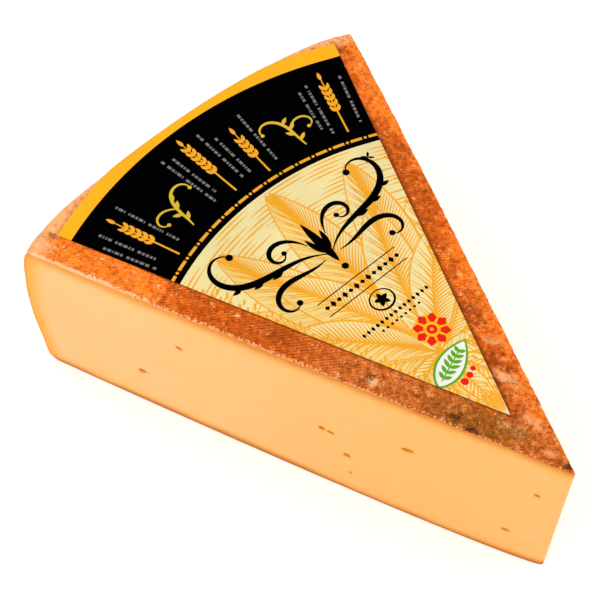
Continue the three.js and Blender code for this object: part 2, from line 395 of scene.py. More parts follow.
# A level sheet between the two cuts and the rim, for the top or the underside.
def levelSheet(bottom, inset, edgeStep, rimStep, spacingAt, finest, seed):
    z = inset if bottom else height - inset
    front = cutPoints(edgeDistances(0, inset, bottom, edgeStep), z, 0)
    far = cutPoints(edgeDistances(1, inset, bottom, edgeStep), z, 1)
    v = evenSteps(rimArc, rimStep)
    dx, dy = directionAt(v)
    whole = reach(v, levelRadius(bottom, inset), z)
    rim = np.column_stack((dx * whole, dy * whole))
    outline = counterClockwise(np.vstack((front[:-1, :2], rim[:-1], far[:0:-1, :2])))

    def inside(x, y):
        return np.minimum(np.minimum(fromFrontCut(x, y, z), fromFarCut(x, y, z)),
                          levelRadius(bottom, inset) - fromRimCentre(x, y))

    inner = gradedPoints(outline, spacingAt, inside, finest, seed)
    flat, faces = fillOutline(outline, inner)
    plain = np.column_stack((flat, np.full(len(flat), z)))
    return {"plain": plain, "shaped": plain.copy(), "faces": faces}


def fromFrontCut(x, y, z):
    return y + bowAt(-x, z, 0)


def fromFarCut(x, y, z):
    return bowAt(np.hypot(x, y), z, 1) - (x + y) * math.sqrt(0.5)


# The broad relief of the side; v is the share of the arc.
def sideSwell(v, z):
    fade = easeStep(z / 14) * easeStep((height - z) / 14)
    along = wheel["rimRadius"] * wheel["wedgeAngle"] * v + 0 * z
    return fade * wheel["sideReliefHeight"] * lumps(along, z, wheel["sideReliefLength"], 11)


# The side between the two cuts, laid out flat by the share of the arc and the section's length.
# A shell inside the rind lies a little deeper between its edges, clear of the rind's pits.
def sideSheet(inset, rimStep, sectionStep, spacing, seed):
    v = evenSteps(rimArc, rimStep)
    t = sectionSteps(sectionStep)
    low = np.column_stack((v * rimArc, 0 * v))
    right = np.column_stack((rimArc + 0 * t, t))
    left = right - (rimArc, 0)
    outline = np.vstack((low[:-1], right[:-1], (low + (0, sideLength))[:0:-1], left[:0:-1]))

    def inside(s, q):
        return np.minimum(np.minimum(s, rimArc - s), np.minimum(q, sideLength - q))

    flat, faces = fillOutline(outline, gradedPoints(outline, evenly(spacing), inside, spacing, seed))
    share = flat[:, 0] / rimArc
    radius, z, looksUp = sideSection(flat[:, 1], inset)
    dx, dy = directionAt(share)
    whole = reach(share, radius, z)
    plain = np.column_stack((dx * whole, dy * whole, z))
    deeper = innerMesh["deeper"] * easeStep(inside(flat[:, 0], flat[:, 1]) / 6) if inset else 0
    shapedReach = whole + sideSwell(share, z) - deeper
    shaped = np.column_stack((dx * shapedReach, dy * shapedReach, z))
    return {"plain": plain, "shaped": shaped, "faces": faces, "share": share,
            "t": flat[:, 1], "looksUp": looksUp}


innerMesh = {
    "edgeStep": 1.6,
    "rimStep": 3.0,
    "levelSpacing": 12,
    "sideSpacing": 5,
    "deeper": 0.4,
}


# Top, underside and side of a shell inside the rind: its inner face, or the paste's outer one.
def innerShell(inset):
    spacing = innerMesh["levelSpacing"]
    step = innerMesh["rimStep"]
    top, underside = [levelSheet(bottom, inset, innerMesh["edgeStep"], step, evenly(spacing), spacing, 8)
                      for bottom in (False, True)]
    top["shaped"][:, 2] += topRelief(top["plain"][:, 0], top["plain"][:, 1])
    return [top, underside, sideSheet(inset, step, step, innerMesh["sideSpacing"], 9)]


def cutOutline(v, inset, edgeStep, sectionStep):
    top = edgeDistances(v, inset, False, edgeStep)
    bottom = edgeDistances(v, inset, True, edgeStep)
    radius, z, _ = sideSection(sectionSteps(sectionStep), inset)
    rim = np.column_stack((reach(v, radius, z), z))
    upper = np.column_stack((top, np.full(len(top), height - inset)))
    lower = np.column_stack((bottom, np.full(len(bottom), float(inset))))
    return np.vstack((upper[:-1], rim[:0:-1], lower[::-1]))


# How deep a point of a cut lies under the rind's outer face.
def underRind(distance, z, v):
    radius = wheel["rimRadius"] + bulgeAt(z)
    return np.minimum(np.minimum(z, height - z), reach(v, radius, z) - distance)


# The solid's own swell, carried down a cut from the top and in from the side.
def cutShape(distance, z, v, outward):
    plain = cutPoints(distance, z, v)
    fromRim = reach(v, wheel["rimRadius"] + bulgeAt(z), z) - distance
    shaped = cutPoints(distance + sideSwell(v, z) * easeStep(1 - fromRim / 9), z, v, outward)
    shaped[:, 2] += (z / height) * topRelief(plain[:, 0], plain[:, 1])
    return plain, shaped


# Nodes for the materials.
class Finish:
    def __init__(self, name):
        self.material = bpy.data.materials.new(name)
        self.material.use_nodes = True
        self.tree = self.material.node_tree
        self.tree.nodes.clear()
        self.shader = self.node("ShaderNodeBsdfPrincipled")
        output = self.node("ShaderNodeOutputMaterial")
        self.link(self.shader.outputs["BSDF"], output.inputs["Surface"])
        self.place = self.node("ShaderNodeTexCoord").outputs["Object"]

    def node(self, kind):
        return self.tree.nodes.new(kind)

    def link(self, source, target):
        if isinstance(source, (int, float, tuple)):
            target.default_value = source
        else:
            self.tree.links.new(source, target)

    def mask(self, name):
        node = self.node("ShaderNodeAttribute")
        node.attribute_name = name
        return node.outputs["Fac"]

    # grain is the size of the marks in millimetres
    def noise(self, grain, detail, roughness=0.55, distortion=0.0):
        node = self.node("ShaderNodeTexNoise")
        self.link(self.place, node.inputs["Vector"])
        node.inputs["Scale"].default_value = 1000 / grain
        node.inputs["Detail"].default_value = detail
        node.inputs["Roughness"].default_value = roughness
        node.inputs["Distortion"].default_value = distortion
        return node.outputs["Fac"]

    # even bands that run along a heading, one to each pitch in millimetres
    def bands(self, heading, pitch, wander):
        turned = self.node("ShaderNodeMapping")
        turned.vector_type = "TEXTURE"
        turned.inputs["Rotation"].default_value = (0, 0, math.radians(heading))
        self.link(self.place, turned.inputs["Vector"])
        oneBand = 314.16           # millimetres from band to band at a scale of 1
        node = self.node("ShaderNodeTexWave")
        node.bands_direction = "Y"
        self.link(turned.outputs["Vector"], node.inputs["Vector"])
        node.inputs["Scale"].default_value = oneBand / pitch
        node.inputs["Distortion"].default_value = wander
        node.inputs["Detail"].default_value = 2.0
        node.inputs["Detail Scale"].default_value = 0.4
        return node.outputs["Fac"]

    # scattered spots of uneven outline, for a share of the places a spacing apart; few reach the full radius
    def spots(self, spacing, radius, share, ragged):
        shake = self.node("ShaderNodeTexNoise")
        self.link(self.place, shake.inputs["Vector"])
        shake.inputs["Scale"].default_value = 1000 / radius
        moved = self.vector("SUBTRACT", shake.outputs["Color"], (0.5, 0.5, 0.5))
        moved = self.vector("MULTIPLY_ADD", moved, (radius * ragged * 0.003,) * 3, self.place)
        node = self.node("ShaderNodeTexVoronoi")
        self.link(moved, node.inputs["Vector"])
        node.inputs["Scale"].default_value = 1000 / spacing
        number = self.node("ShaderNodeSeparateColor")
        self.link(node.outputs["Color"], number.inputs["Color"])
        size = self.sharpen(number.outputs["Red"], 1 - share, 1.0, 0.0, radius / spacing)
        within = self.maths("SUBTRACT", size, node.outputs["Distance"])
        return self.sharpen(within, 0.0, 0.3 * radius / spacing)

    def vector(self, kind, a, b, c=(0.0, 0.0, 0.0)):
        node = self.node("ShaderNodeVectorMath")
        node.operation = kind
        for socket, value in zip(node.inputs, (a, b, c)):
            self.link(value, socket)
        return node.outputs["Vector"]

    def sharpen(self, value, low, high, start=0.0, end=1.0):
        node = self.node("ShaderNodeMapRange")
        node.interpolation_type = "SMOOTHSTEP"
        self.link(value, node.inputs["Value"])
        for name, number in (("From Min", low), ("From Max", high), ("To Min", start), ("To Max", end)):
            node.inputs[name].default_value = number
        return node.outputs["Result"]

    # from low to high as a mask goes from 0 to 1
    def ranged(self, mask, low, high):
        return self.sharpen(mask, 0.0, 1.0, low, high)

    def maths(self, kind, a, b):
        node = self.node("ShaderNodeMath")
        node.operation = kind
        self.link(a, node.inputs[0])
        self.link(b, node.inputs[1])
        return node.outputs["Value"]

    def total(self, *parts):
        return reduce(lambda a, b: self.maths("ADD", a, b), parts)

    def product(self, *factors):
        return reduce(lambda a, b: self.maths("MULTIPLY", a, b), factors)

    def blend(self, share, first, second):
        node = self.node("ShaderNodeMix")
        node.data_type = "RGBA"
        self.link(share, node.inputs[0])
        self.link(first, node.inputs[6])
        self.link(second, node.inputs[7])
        return node.outputs[2]

    # a colour made lighter or darker by a number
    def tone(self, shade, amount):
        node = self.node("ShaderNodeVectorMath")
        node.operation = "SCALE"
        self.link(shade, node.inputs[0])
        self.link(amount, node.inputs["Scale"])
        return node.outputs["Vector"]

    def bump(self, height, strength, distance):
        node = self.node("ShaderNodeBump")
        node.inputs["Strength"].default_value = strength
        node.inputs["Distance"].default_value = distance * 0.001
        self.link(height, node.inputs["Height"])
        self.link(node.outputs["Normal"], self.shader.inputs["Normal"])

    def set(self, **values):
        for name, value in values.items():
            self.link(value, self.shader.inputs[name.replace("_", " ")])


# A colour as it looks on paper, 0 to 255, turned into the light values of a shader.
def colour(red, green, blue):
    def light(value):
        value = value / 255
        return value / 12.92 if value <= 0.04045 else ((value + 0.055) / 1.055) ** 2.4
    return (light(red), light(green), light(blue), 1.0)


print("stage 1: camera, floor and lights")

# The camera looks down on the wedge from in front of the front cut, turned a little towards its point.
# Its target is measured from the wedge's point.
camera = {
    "azimuth": 24.95,
    "elevation": 57.74,
    "distance": 821.9,
    "target": (-174.3, 76.85, 29.0),
    "focalLength": 89.34,
}


def addCamera():
    data = bpy.data.cameras.new("camera")
    data.sensor_fit = "HORIZONTAL"
    data.sensor_width = 36
    data.lens = camera["focalLength"]
    data.clip_end = 20
    cameraObject = newObject("camera", data)
    azimuth = math.radians(camera["azimuth"])
    elevation = math.radians(camera["elevation"])
    away = Vector((math.sin(azimuth) * math.cos(elevation), -math.cos(azimuth) * math.cos(elevation),
                   math.sin(elevation)))
    target = Vector(toMetres(camera["target"]))
    cameraObject.location = target + away * camera["distance"] * 0.001
    cameraObject.rotation_euler = (-away).to_track_quat("-Z", "Y").to_euler()
    scene.camera = cameraObject


addCamera()

studio = {
    "floorSize": 12.0,
    "floorColour": colour(254, 254, 254),
    "floorShade": colour(235, 235, 235),
    "floorGlow": 0.14,        # keeps the orange of the rind off the pale floor
    "skyStrength": 0.86,
    "lights": {               # place, target, size in metres and power
        "key": ((-0.75, -1.05, 1.25), (0, 0, 0.05), 1.3, 9.2),
        "fill": ((0.9, -0.9, 0.9), (0, 0, 0.05), 1.2, 2.5),
        "back": ((0.7, 1.1, 1.1), (0.1, 0.1, 0.05), 1.4, 4.5),
    },
}


def addFloor():
    half = studio["floorSize"] / 2
    mesh = bpy.data.meshes.new("floor")
    corners = [(-half, -half, 0), (half, -half, 0), (half, half, 0), (-half, half, 0)]
    mesh.from_pydata(corners, [], [(0, 1, 2, 3)])
    floor = newObject("floor", mesh)
    finish = Finish("floorPaint")
    grain = finish.noise(90, 2)
    shade = finish.blend(finish.product(grain, 0.02), studio["floorColour"], studio["floorShade"])
    finish.set(Base_Color=shade, Roughness=0.9, Specular_IOR_Level=0.1,
               Emission_Color=studio["floorColour"], Emission_Strength=studio["floorGlow"])
    mesh.materials.append(finish.material)


def addLights():
    for name, (place, target, size, power) in studio["lights"].items():
        data = bpy.data.lights.new(name, "AREA")
        data.shape = "DISK"
        data.size = size
        data.energy = power
        light = newObject(name, data)
        light.location = place
        light.rotation_euler = (Vector(target) - Vector(place)).to_track_quat("-Z", "Y").to_euler()
    world = bpy.data.worlds.new("studio")
    world.use_nodes = True
    sky = world.node_tree.nodes["Background"]
    sky.inputs["Color"].default_value = (1, 1, 1, 1)
    sky.inputs["Strength"].default_value = studio["skyStrength"]
    scene.world = world
    scene.view_settings.view_transform = "Standard"


addFloor()
addLights()

print("stage 2: the rind")

rind = {
    "thickness": 1.1,
    "bareSpacing": 0.56,       # distance between mesh points where the rind is bare
    "sideSpacing": 1.15,
    "undersideSpacing": 2.4,
    "rimStep": 0.95,           # along the edges that two sheets share
    "sectionStep": 1.1,
    "undersideStep": 1.3,
    "threadAngle": 32,         # the cheese cloth's threads against the front cut, in degrees
    "threadPitch": 1.6,        # in millimetres, as all lengths here
    "crumbHeight": 0.24,
    "pitDepth": 0.5,
    "lipWidth": 2.3,
    "lipWidening": 0.3,        # and this much wider at the rim
    "lipHeight": 0.26,
    "lipProud": 0.14,          # the rind's cut edge stands out of the paste
    "orange": colour(250, 122, 34),
    "deepOrange": colour(192, 84, 14),
    "brown": colour(136, 52, 2),
    "tan": colour(190, 98, 38),
    "olive": colour(148, 82, 20),
    "ash": colour(160, 108, 56),
    "pale": colour(250, 158, 88),
    "bloom": colour(255, 188, 128),
    "speck": colour(255, 192, 136),
    # the broken lip's pale colours: partly crumbs, partly a painted highlight along the cut edge
    "crumbHighlight": colour(255, 196, 150),
    "tornCrumbHighlight": colour(250, 172, 112),
    "pitBrown": colour(92, 34, 4),
    # painted shadow beside the label's edges, and painted shade low on the side
    "soot": colour(26, 14, 4),
    "paintedShade": colour(104, 36, 0),
    "cutBark": colour(184, 110, 30),
    "cutHoney": colour(240, 158, 56),
}

# Stains of the rind: kind, place on the top, size along and across the front cut, strength.
stains = [
    ("tanStain", (-96, 5), (46, 17), 0.95),
    ("tanStain", (-18, 8), (16, 12), 0.8),
    ("oliveStain", (-52, 4), (27, 12), 0.95),
    ("oliveStain", (-34, 9), (10, 6), 0.6),
    ("brownStain", (-152, 10), (12, 5), 0.5),
    ("brownStain", (-66, 3), (7, 5), 0.5),
    ("brownStain", (-4, 2.6), (5, 3), 0.9),
    ("sootStain", (-49.8, 0.8), (4.2, 1.8), 1.0),
    ("sootStain", (-60.5, 3.5), (4, 1.7), 0.9),
    ("sootStain", (-103.5, 6.7), (2.6, 2), 0.9),
    ("sootStain", (-3.4, 2.4), (2.6, 1.6), 0.8),
    ("ashStain", (-32.5, 8.6), (6, 3.4), 0.75),
    ("ashStain", (-40, 10.5), (5, 3), 0.6),
    ("bloomStain", (-101.7, 5.1), (3, 1.8), 0.9),
    ("bloomStain", (-47, 34), (8, 3), 0.6),
    ("bloomStain", (-60, 50), (6, 2.4), 0.4),
    ("bloomStain", (-27, 17), (7, 3), 0.4),
    ("bloomStain", (-12.4, 5.2), (4, 2.4), 0.35),
    ("tanStain", (-42, 28), (30, 9), 0.5),
    ("brownStain", (-52, 40), (9, 4), 0.7),
    ("brownStain", (-74, 62), (10, 4), 0.5),
    ("bloomStain", (-290, 5), (10, 9), 0.85),
    ("bloomStain", (-206, 201), (9, 6), 0.7),
    ("sootStain", (-283.8, 14.2), (3.2, 2.4), 0.65),
]


# Fine relief of bare rind in millimetres, and the masks that its colours follow.
def bareRelief(x, y, coarse):
    crumbs = 0.6 * crumble(x, y, 4.2, 31) + 0.8 * crumble(x, y, 1.7, 35)
    near, number = scattered(x, y, 4.3, 41)
    pit = (number > 0.8) * easeStep(1 - near / (0.6 + 3.4 * (number - 0.8)))
    return (0.55 + 0.9 * coarse) * rind["crumbHeight"] * crumbs - rind["pitDepth"] * pit, pit


def lipAmount(fromCut, fromTip):
    return easeStep(1 - fromCut / (rind["lipWidth"] + rind["lipWidening"] * easeStep((fromTip - 215) / 50)))


# The broken edge's pale colour, partly a painted highlight, is faint and crumbly near the point and nearly
# whole towards the rim.
def lipStrength(fromTip):
    return 0.24 + 0.32 * easeStep((fromTip - 60) / 100) + 0.5 * easeStep((fromTip - 215) / 40)


def stainMasks(x, y):
    masks = {}
    wobbleX = x + 3.2 * crumble(x, y, 9, 71)
    wobbleY = y + 2.6 * crumble(x, y, 7, 75)
    for kind, place, size, strength in stains:
        away = np.hypot((wobbleX - place[0]) / size[0], (wobbleY - place[1]) / size[1])
        masks[kind] = np.maximum(masks.get(kind, 0), strength * easeStep(1.35 - away))
    return masks


def topOfRind():
    def spacing(x, y):
        return rind["bareSpacing"] + np.clip(underLabel(x, y) - 1, 0, 9) * 0.9

    finest = rind["bareSpacing"]
    sheet = levelSheet(False, 0, finest, rind["rimStep"], spacing, finest, 5)
    x, y, _ = sheet["plain"].T
    fromTip = np.hypot(x, y)
    under = underLabel(x, y)
    bare = easeStep((-under - 0.2) / 1.3)
    toFront = fromFrontCut(x, y, height)
    toFar = fromFarCut(x, y, height)
    toRim = wheel["rimRadius"] - fromRimCentre(x, y)
    # crumbs and pits, and the broken lip that stands up and out along the cuts
    coarse = np.maximum(easeStep((135 - fromTip) / 50), easeStep((16 - toRim) / 9))
    fine, pit = bareRelief(x, y, coarse)
    lip = lipAmount(np.minimum(toFront, toFar), fromTip)
    tear = crumble(x, y, 2.1, 81) + 0.5 * crumble(x, y, 0.9, 83)
    raised = rind["lipHeight"] * lip * (0.2 + 1.6 * tear)
    fade = easeStep((toRim - wheel["topShoulder"]) / 2)
    sheet["shaped"][:, 2] += topRelief(x, y) + bare * fine + raised * fade
    push = rind["lipProud"] + 0.34 * crumble(x, y, 2.7, 85)
    for toCut, v in ((toFront, 0), (toFar, 1)):
        nx, ny = cutNormal(v)
        amount = push * lipAmount(toCut, fromTip) * easeStep((fromTip - 0.5) / 2)
        sheet["shaped"][:, 0] += nx * amount
        sheet["shaped"][:, 1] += ny * amount
    # the masks that the colours follow
    sheet["pit"] = pit * bare
    sheet["lip"] = lip * lipStrength(fromTip) * (toFront < toFar)
    # painted shadow of the label on the rind: a wide band beside its far edge and a thin one all round it
    alongFar = easeStep(1 + np.where(under > 0, 0, under) / 3.6) * (underFar(x, y) < 1.5)
    alongFar = alongFar * (1 - 0.6 * easeStep((fromTip - 190) / 70))
    besidePaper = easeStep(1 + under / 1.1) * (1 - 0.75 * easeStep((fromTip - 225) / 20))
    sheet["paintedShade"] = np.maximum(alongFar, besidePaper)
    sheet.update(stainMasks(x, y))
    film = easeStep((11 - toRim + 5 * crumble(x, y, 7, 93)) / 8)
    sheet["bloomStain"] = np.maximum(sheet["bloomStain"], 0.75 * film)
    farSide = easeStep((toFront - toFar) / 12)
    deep = easeStep((228 - fromTip) / 26) * (1 - farSide * 0.75 * easeStep((170 - fromTip) / 40))
    sheet["farSide"] = farSide
    sheet["rimward"] = easeStep((fromTip - 195) / 40) * (1 - 0.45 * farSide)
    midway = easeStep((fromTip - 145) / 20) * easeStep((235 - fromTip) / 20)
    acrossStrip = (0.2 + 0.35 * midway) * easeStep(1 - toFar / 6) - 0.5 * easeStep((toFar - 3) / 7)
    sheet["warm"] = 0.95 - deep + 0.35 * crumble(x, y, 16, 91) + farSide * acrossStrip
    sheet["coarse"] = coarse
    return sheet


def sideOfRind():
    sheet = sideSheet(0, rind["rimStep"], rind["sectionStep"], rind["sideSpacing"], 6)
    share, t, looksUp = sheet["share"], sheet["t"], sheet["looksUp"]
    x, y, z = sheet["plain"].T
    along = wheel["rimRadius"] * share * wheel["wedgeAngle"]
    coarse = easeStep(0.3 + 0.8 * crumble(along, z, 26, 99))
    fine, pit = bareRelief(along * arcShare + 400, z + 300, coarse)      # other lumps than the top's
    edgeReach = reach(share, wheel["rimRadius"] - wheel["topShoulder"], height)
    dx, dy = directionAt(share)
    edgeX = dx * edgeReach
    edgeY = dy * edgeReach
    edgeFine, edgePit = bareRelief(edgeX, edgeY, 1.0)
    edgeBare = easeStep((-underLabel(edgeX, edgeY) - 0.2) / 1.3)
    hold = easeStep((t - (sideLength - 4)) / 4)
    out = 0.8 * fine * (1 - hold) * easeStep(t / 6) + edgeFine * edgeBare * hold
    centre = np.array(wheel["rimCentre"])
    away = np.column_stack((x, y)) - centre
    away /= np.linalg.norm(away, axis=1)[:, None]
    sheet["shaped"][:, :2] += away * (out * np.cos(looksUp))[:, None]
    nearTop = easeStep((z - 0.8 * height) / (0.2 * height))
    sheet["shaped"][:, 2] += np.maximum(0, np.sin(looksUp)) * out + nearTop * topRelief(edgeX, edgeY)
    sheet["pit"] = pit * (1 - hold) + edgePit * hold
    sheet["warm"] = 0.55 + 0.8 * crumble(along, z, 18, 95)
    sheet["coarse"] = np.maximum(coarse, easeStep((t - (sideLength - 16)) / 10))
    sheet["bloomStain"] = 0.75 * easeStep((t - (sideLength - 14)) / 8)
    sheet["brownStain"] = 0.4 * easeStep(0.2 + 1.2 * crumble(along, z, 33, 97)) + 0.35 * easeStep(1 - z / 18)
    # painted shade, darker towards the floor
    sheet["paintedShade"] = 0.6 * easeStep(1 - z / 5)
    return sheet


def undersideOfRind():
    spacing = rind["undersideSpacing"]
    sheet = levelSheet(True, 0, rind["undersideStep"], rind["rimStep"], evenly(spacing), spacing, 7)
    x, y, _ = sheet["plain"].T
    inside = np.minimum(fromFrontCut(x, y, 0), fromFarCut(x, y, 0))
    hollow = 0.16 * (0.5 + 0.5 * crumble(x, y, 8, 101)) * easeStep(inside / 3)
    sheet["shaped"][:, 2] += hollow
    sheet["warm"] = easeStep(0.4 + 0.7 * crumble(x, y, 24, 103))
    sheet["brownStain"] = 0.6 * easeStep(0.3 + crumble(x, y, 40, 105))
    sheet["coarse"] = 0.3
    return sheet


# The rind's own cut edge, a narrow strip along the top, down the rim and along the underside.
def edgeOfRind(v, seed):
    inset = rind["thickness"]
    outer = cutOutline(v, 0, rind["bareSpacing"], rind["sectionStep"])
    outer = outer[:len(outer) - len(edgeDistances(v, 0, True, rind["bareSpacing"]))]
    bottom = edgeDistances(v, 0, True, rind["undersideStep"])
    outer = np.vstack((outer, np.column_stack((bottom, 0 * bottom))[::-1]))
    inner = cutOutline(v, inset, innerMesh["edgeStep"], innerMesh["rimStep"])
    between = np.array([0.35, 0.7]) * inset
    lowTip = np.column_stack((0 * between, between))
    highTip = np.column_stack((0 * between, height - between))[::-1]
    outline = np.vstack((outer, lowTip, inner[::-1], highTip))

    def inside(distance, z):
        depth = underRind(distance, z, v)
        return np.minimum(np.minimum(depth, inset - depth), distance)

    spacing = 0.5
    flat, faces = fillOutline(outline, gradedPoints(outline, evenly(spacing), inside, spacing, seed))
    distance, z = flat.T
    depth = np.maximum(0, underRind(distance, z, v))
    proud = rind["lipProud"] + 0.12 * crumble(distance, z, 1.6, seed)
    outward = proud * easeStep((distance - 0.5) / 2) * (1 - 0.6 * easeStep(depth / inset - 0.5))
    plain, shaped = cutShape(distance, z, v, outward)
    onTop = easeStep((z - height + 3.5) / 2.4)
    # the edge keeps its darker bark colour along the bottom, partly painted shade where it meets the floor
    return {"plain": plain, "shaped": shaped, "faces": faces,
            "lip": onTop * (1 - 0.5 * depth / inset) * lipStrength(distance) * (v == 0),
            "edge": np.maximum(1 - onTop, easeStep(2 * depth / inset - 0.9)), "warm": 0.5, "coarse": 0.6,
            "honeyed": easeStep((distance - 110) / 90) * easeStep((z - 2.2) / 2)}


rindMasks = ("pit", "lip", "edge", "honeyed", "paintedShade", "warm", "rimward", "farSide", "coarse",
             "brownStain", "tanStain", "oliveStain", "sootStain", "ashStain", "bloomStain")


def rindFinish():
    finish = Finish("smearRipenedRind")
    product, total, ranged, sharpen = finish.product, finish.total, finish.ranged, finish.sharpen
    patches = finish.noise(9, 4, 0.6)
    clouds = finish.noise(5, 3, 0.6, 0.4)
    mottle = finish.noise(2.6, 4, 0.7, 0.3)
    grain = finish.noise(1.0, 3, 0.7)
    coarse = finish.mask("coarse")
    rimward = finish.mask("rimward")
    farSide = finish.mask("farSide")

    # a value with one factor for smooth and coarse rind, one reached at the rim, one on the far side
    def varied(value, smooth, rough, rim, far=1.0):
        return product(value, ranged(coarse, smooth, rough), ranged(rimward, 1.0, rim),
                       ranged(farSide, 1.0, far))

    warm = total(finish.mask("warm"), sharpen(patches, 0.32, 0.68, -0.42, 0.42))
    shade = finish.blend(sharpen(warm, 0.0, 1.0), rind["deepOrange"], rind["orange"])
    edgeNoise = sharpen(mottle, 0.3, 0.7, -0.35, 0.35)
    for name in ("brown", "tan", "olive", "ash"):
        stain = finish.mask(name + "Stain")
        shade = finish.blend(total(stain, product(edgeNoise, stain)), shade, rind[name])
    # the cloth's threads, worn away in patches and towards the rim
    threads = finish.bands(rind["threadAngle"], rind["threadPitch"], 1.8)
    weft = finish.bands(rind["threadAngle"] + 84, rind["threadPitch"] * 0.9, 2.6)
    worn = varied(sharpen(clouds, 0.36, 0.6, 0.2, 1.0), 1.0, 0.3, 0.5, 0.6)
    cloth = product(total(product(threads, 0.82), product(weft, 0.18), -0.5), worn)
    # lighter and darker by the crumbs, their grain and the threads
    fine = varied(total(grain, -0.5), 1.2, 2.0, 1.6, 0.55)
    broad = varied(total(mottle, -0.5), 2.3, 3.0, 1.25, 1.2)
    tone = total(broad, fine, product(cloth, 0.78), 1.0)
    shade = finish.tone(shade, finish.maths("MAXIMUM", tone, ranged(coarse, 0.55, 0.42)))
    # peach flakes of dried smear, in grains
    grains = sharpen(grain, 0.38, 0.62)
    flakes = total(clouds, sharpen(mottle, 0.3, 0.75, -0.14, 0.16))
    flakes = product(sharpen(flakes, 0.5, 0.76), ranged(coarse, 0.25, 0.7), ranged(grains, 0.5, 1.0))
    shade = finish.blend(flakes, shade, rind["pale"])
    specks = finish.maths("MAXIMUM", finish.spots(3.6, 1.1, 0.42, 1.7),
                          product(finish.spots(2.2, 0.62, 0.6, 1.4), 0.75))
    shade = finish.blend(product(specks, ranged(coarse, 0.85, 0.5)), shade, rind["speck"])
    # dark gaps between crumbs, then the peach film over them, then pits, soot, and the painted shadow beside
    # the label and painted shade low on the side
    gaps = varied(sharpen(mottle, 0.42, 0.3), 0.2, 0.45, 0.3, 0.35)
    shade = finish.blend(gaps, shade, rind["brown"])
    film = product(finish.mask("bloomStain"), sharpen(mottle, 0.34, 0.6, 0.6, 1.1),
                   ranged(grains, 0.94, 1.0))
    shade = finish.blend(film, shade, rind["bloom"])
    pits = finish.maths("MAXIMUM", finish.mask("pit"), finish.spots(7.5, 1.7, 0.2, 0.6))
    pits = product(varied(pits, 0.4, 0.8, 0.2), ranged(grains, 0.5, 1.0))
    shade = finish.blend(pits, shade, rind["pitBrown"])
    shade = finish.blend(product(finish.mask("sootStain"), sharpen(grain, 0.4, 0.54)), shade, rind["soot"])
    # the painted shadow beside the label and the painted shade low on the side
    shade = finish.blend(product(finish.mask("paintedShade"), 0.8), shade, rind["paintedShade"])
    # the broken edge along the front cut, pale: partly its crumbs' own colour and partly a painted highlight
    # along the edge
    crumbs = finish.noise(1.7, 3, 0.65, 0.3)
    lip = finish.mask("lip")
    torn = total(lip, product(total(crumbs, grain, -1.0), 2.4))
    torn = product(torn, sharpen(lip, 0.02, 0.2))
    shade = finish.blend(sharpen(torn, 0.3, 0.62, 0.0, 0.9), shade,
                         finish.blend(rimward, rind["tornCrumbHighlight"], rind["crumbHighlight"]))
    # the rind's own cut edge: bark brown near the point, honey further out, and bark brown along the bottom,
    # which is partly painted shade where it meets the floor
    barkAndShade = finish.blend(finish.mask("honeyed"), rind["cutBark"], rind["cutHoney"])
    shade = finish.blend(finish.mask("edge"), shade, barkAndShade)
    finish.set(Base_Color=shade, Roughness=sharpen(grain, 0.3, 0.7, 0.5, 0.72), Specular_IOR_Level=0.06)
    finish.bump(total(grain, product(cloth, 0.6)), 0.5, 0.5)
    return finish.material


def addRind():
    sheets = [topOfRind(), sideOfRind(), undersideOfRind(), edgeOfRind(0, 111), edgeOfRind(1, 121)]
    sheets += innerShell(rind["thickness"])
    piece = joinSheets("cheeseRind", sheets, rindMasks)
    turnOutward(piece)
    piece.data.materials.append(rindFinish())
    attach(piece, "root")
    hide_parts("cheese_wedge")


addRind()

print("stage 3: the paste")

paste = {
    "inset": 0.75,
    "spacing": 1.7,
    "eyeSpacing": 0.34,
    "waveHeight": 0.13,
    "cream": colour(251, 180, 115),
    "honey": colour(248, 171, 94),
    "amber": colour(246, 158, 44),
    "lightMottle": colour(255, 206, 150),
    # the brown lines right below the rind: partly the paste's darker rim, partly painted shade under the
    # rind's lip and along the floor
    "barkAndShade": colour(194, 118, 28),
    "outerBarkAndShade": colour(216, 138, 42),
    "lowBarkAndShade": colour(168, 104, 32),
    # the eyes' walls: partly their own darker amber, partly painted shade in the hollows
    "eyeWallAndShade": colour(200, 130, 8),
    # Slits and small eyes on the two cuts: distance from the point, height, half length,
    # half height, depth and tilt in degrees (its outer end higher).
    "frontEyes": [
        (230.6, 32.4, 2.5, 2.0, 2.0, -16),
        (205.7, 73.7, 2.1, 1.5, 1.6, 14),
        (125.6, 53.2, 1.9, 1.8, 1.6, 14),
        (120.6, 52.4, 2.3, 1.4, 1.7, 12),
        (110.8, 35.7, 2.3, 1.7, 1.7, 10),
        (108.3, 18.8, 1.1, 1.0, 0.9, 0),
        (79.8, 66.0, 3.6, 1.8, 2.3, -12),
        (13.3, 72.7, 1.7, 1.5, 1.2, 12),
        (23.3, 25.5, 2.3, 1.5, 1.4, 3),
    ],
    "farEyes": [
        (246.0, 61.0, 3.1, 1.5, 2.0, 5),
        (188.0, 31.5, 2.4, 1.2, 1.8, -7),
        (171.0, 81.0, 3.6, 1.4, 2.2, 9),
        (112.0, 49.0, 2.8, 1.5, 1.9, -5),
        (64.0, 73.5, 1.9, 1.0, 1.4, 4),
        (38.0, 24.0, 1.6, 0.9, 1.2, -3),
    ],
}


# How far inside an eye's mouth a point is: 1 at its middle, 0 at its lip, negative outside.
def eyeInside(eye, distance, z):
    along, level, halfLength, halfHeight, _, tilt = eye
    turn = math.radians(tilt)
    a = (distance - along) * math.cos(turn) + (z - level) * math.sin(turn)
    b = (z - level) * math.cos(turn) - (distance - along) * math.sin(turn)
    ragged = 1 + 0.12 * lumps(a, b, 0.9, 131)
    return 1 - np.hypot(a / halfLength, b / halfHeight) * ragged


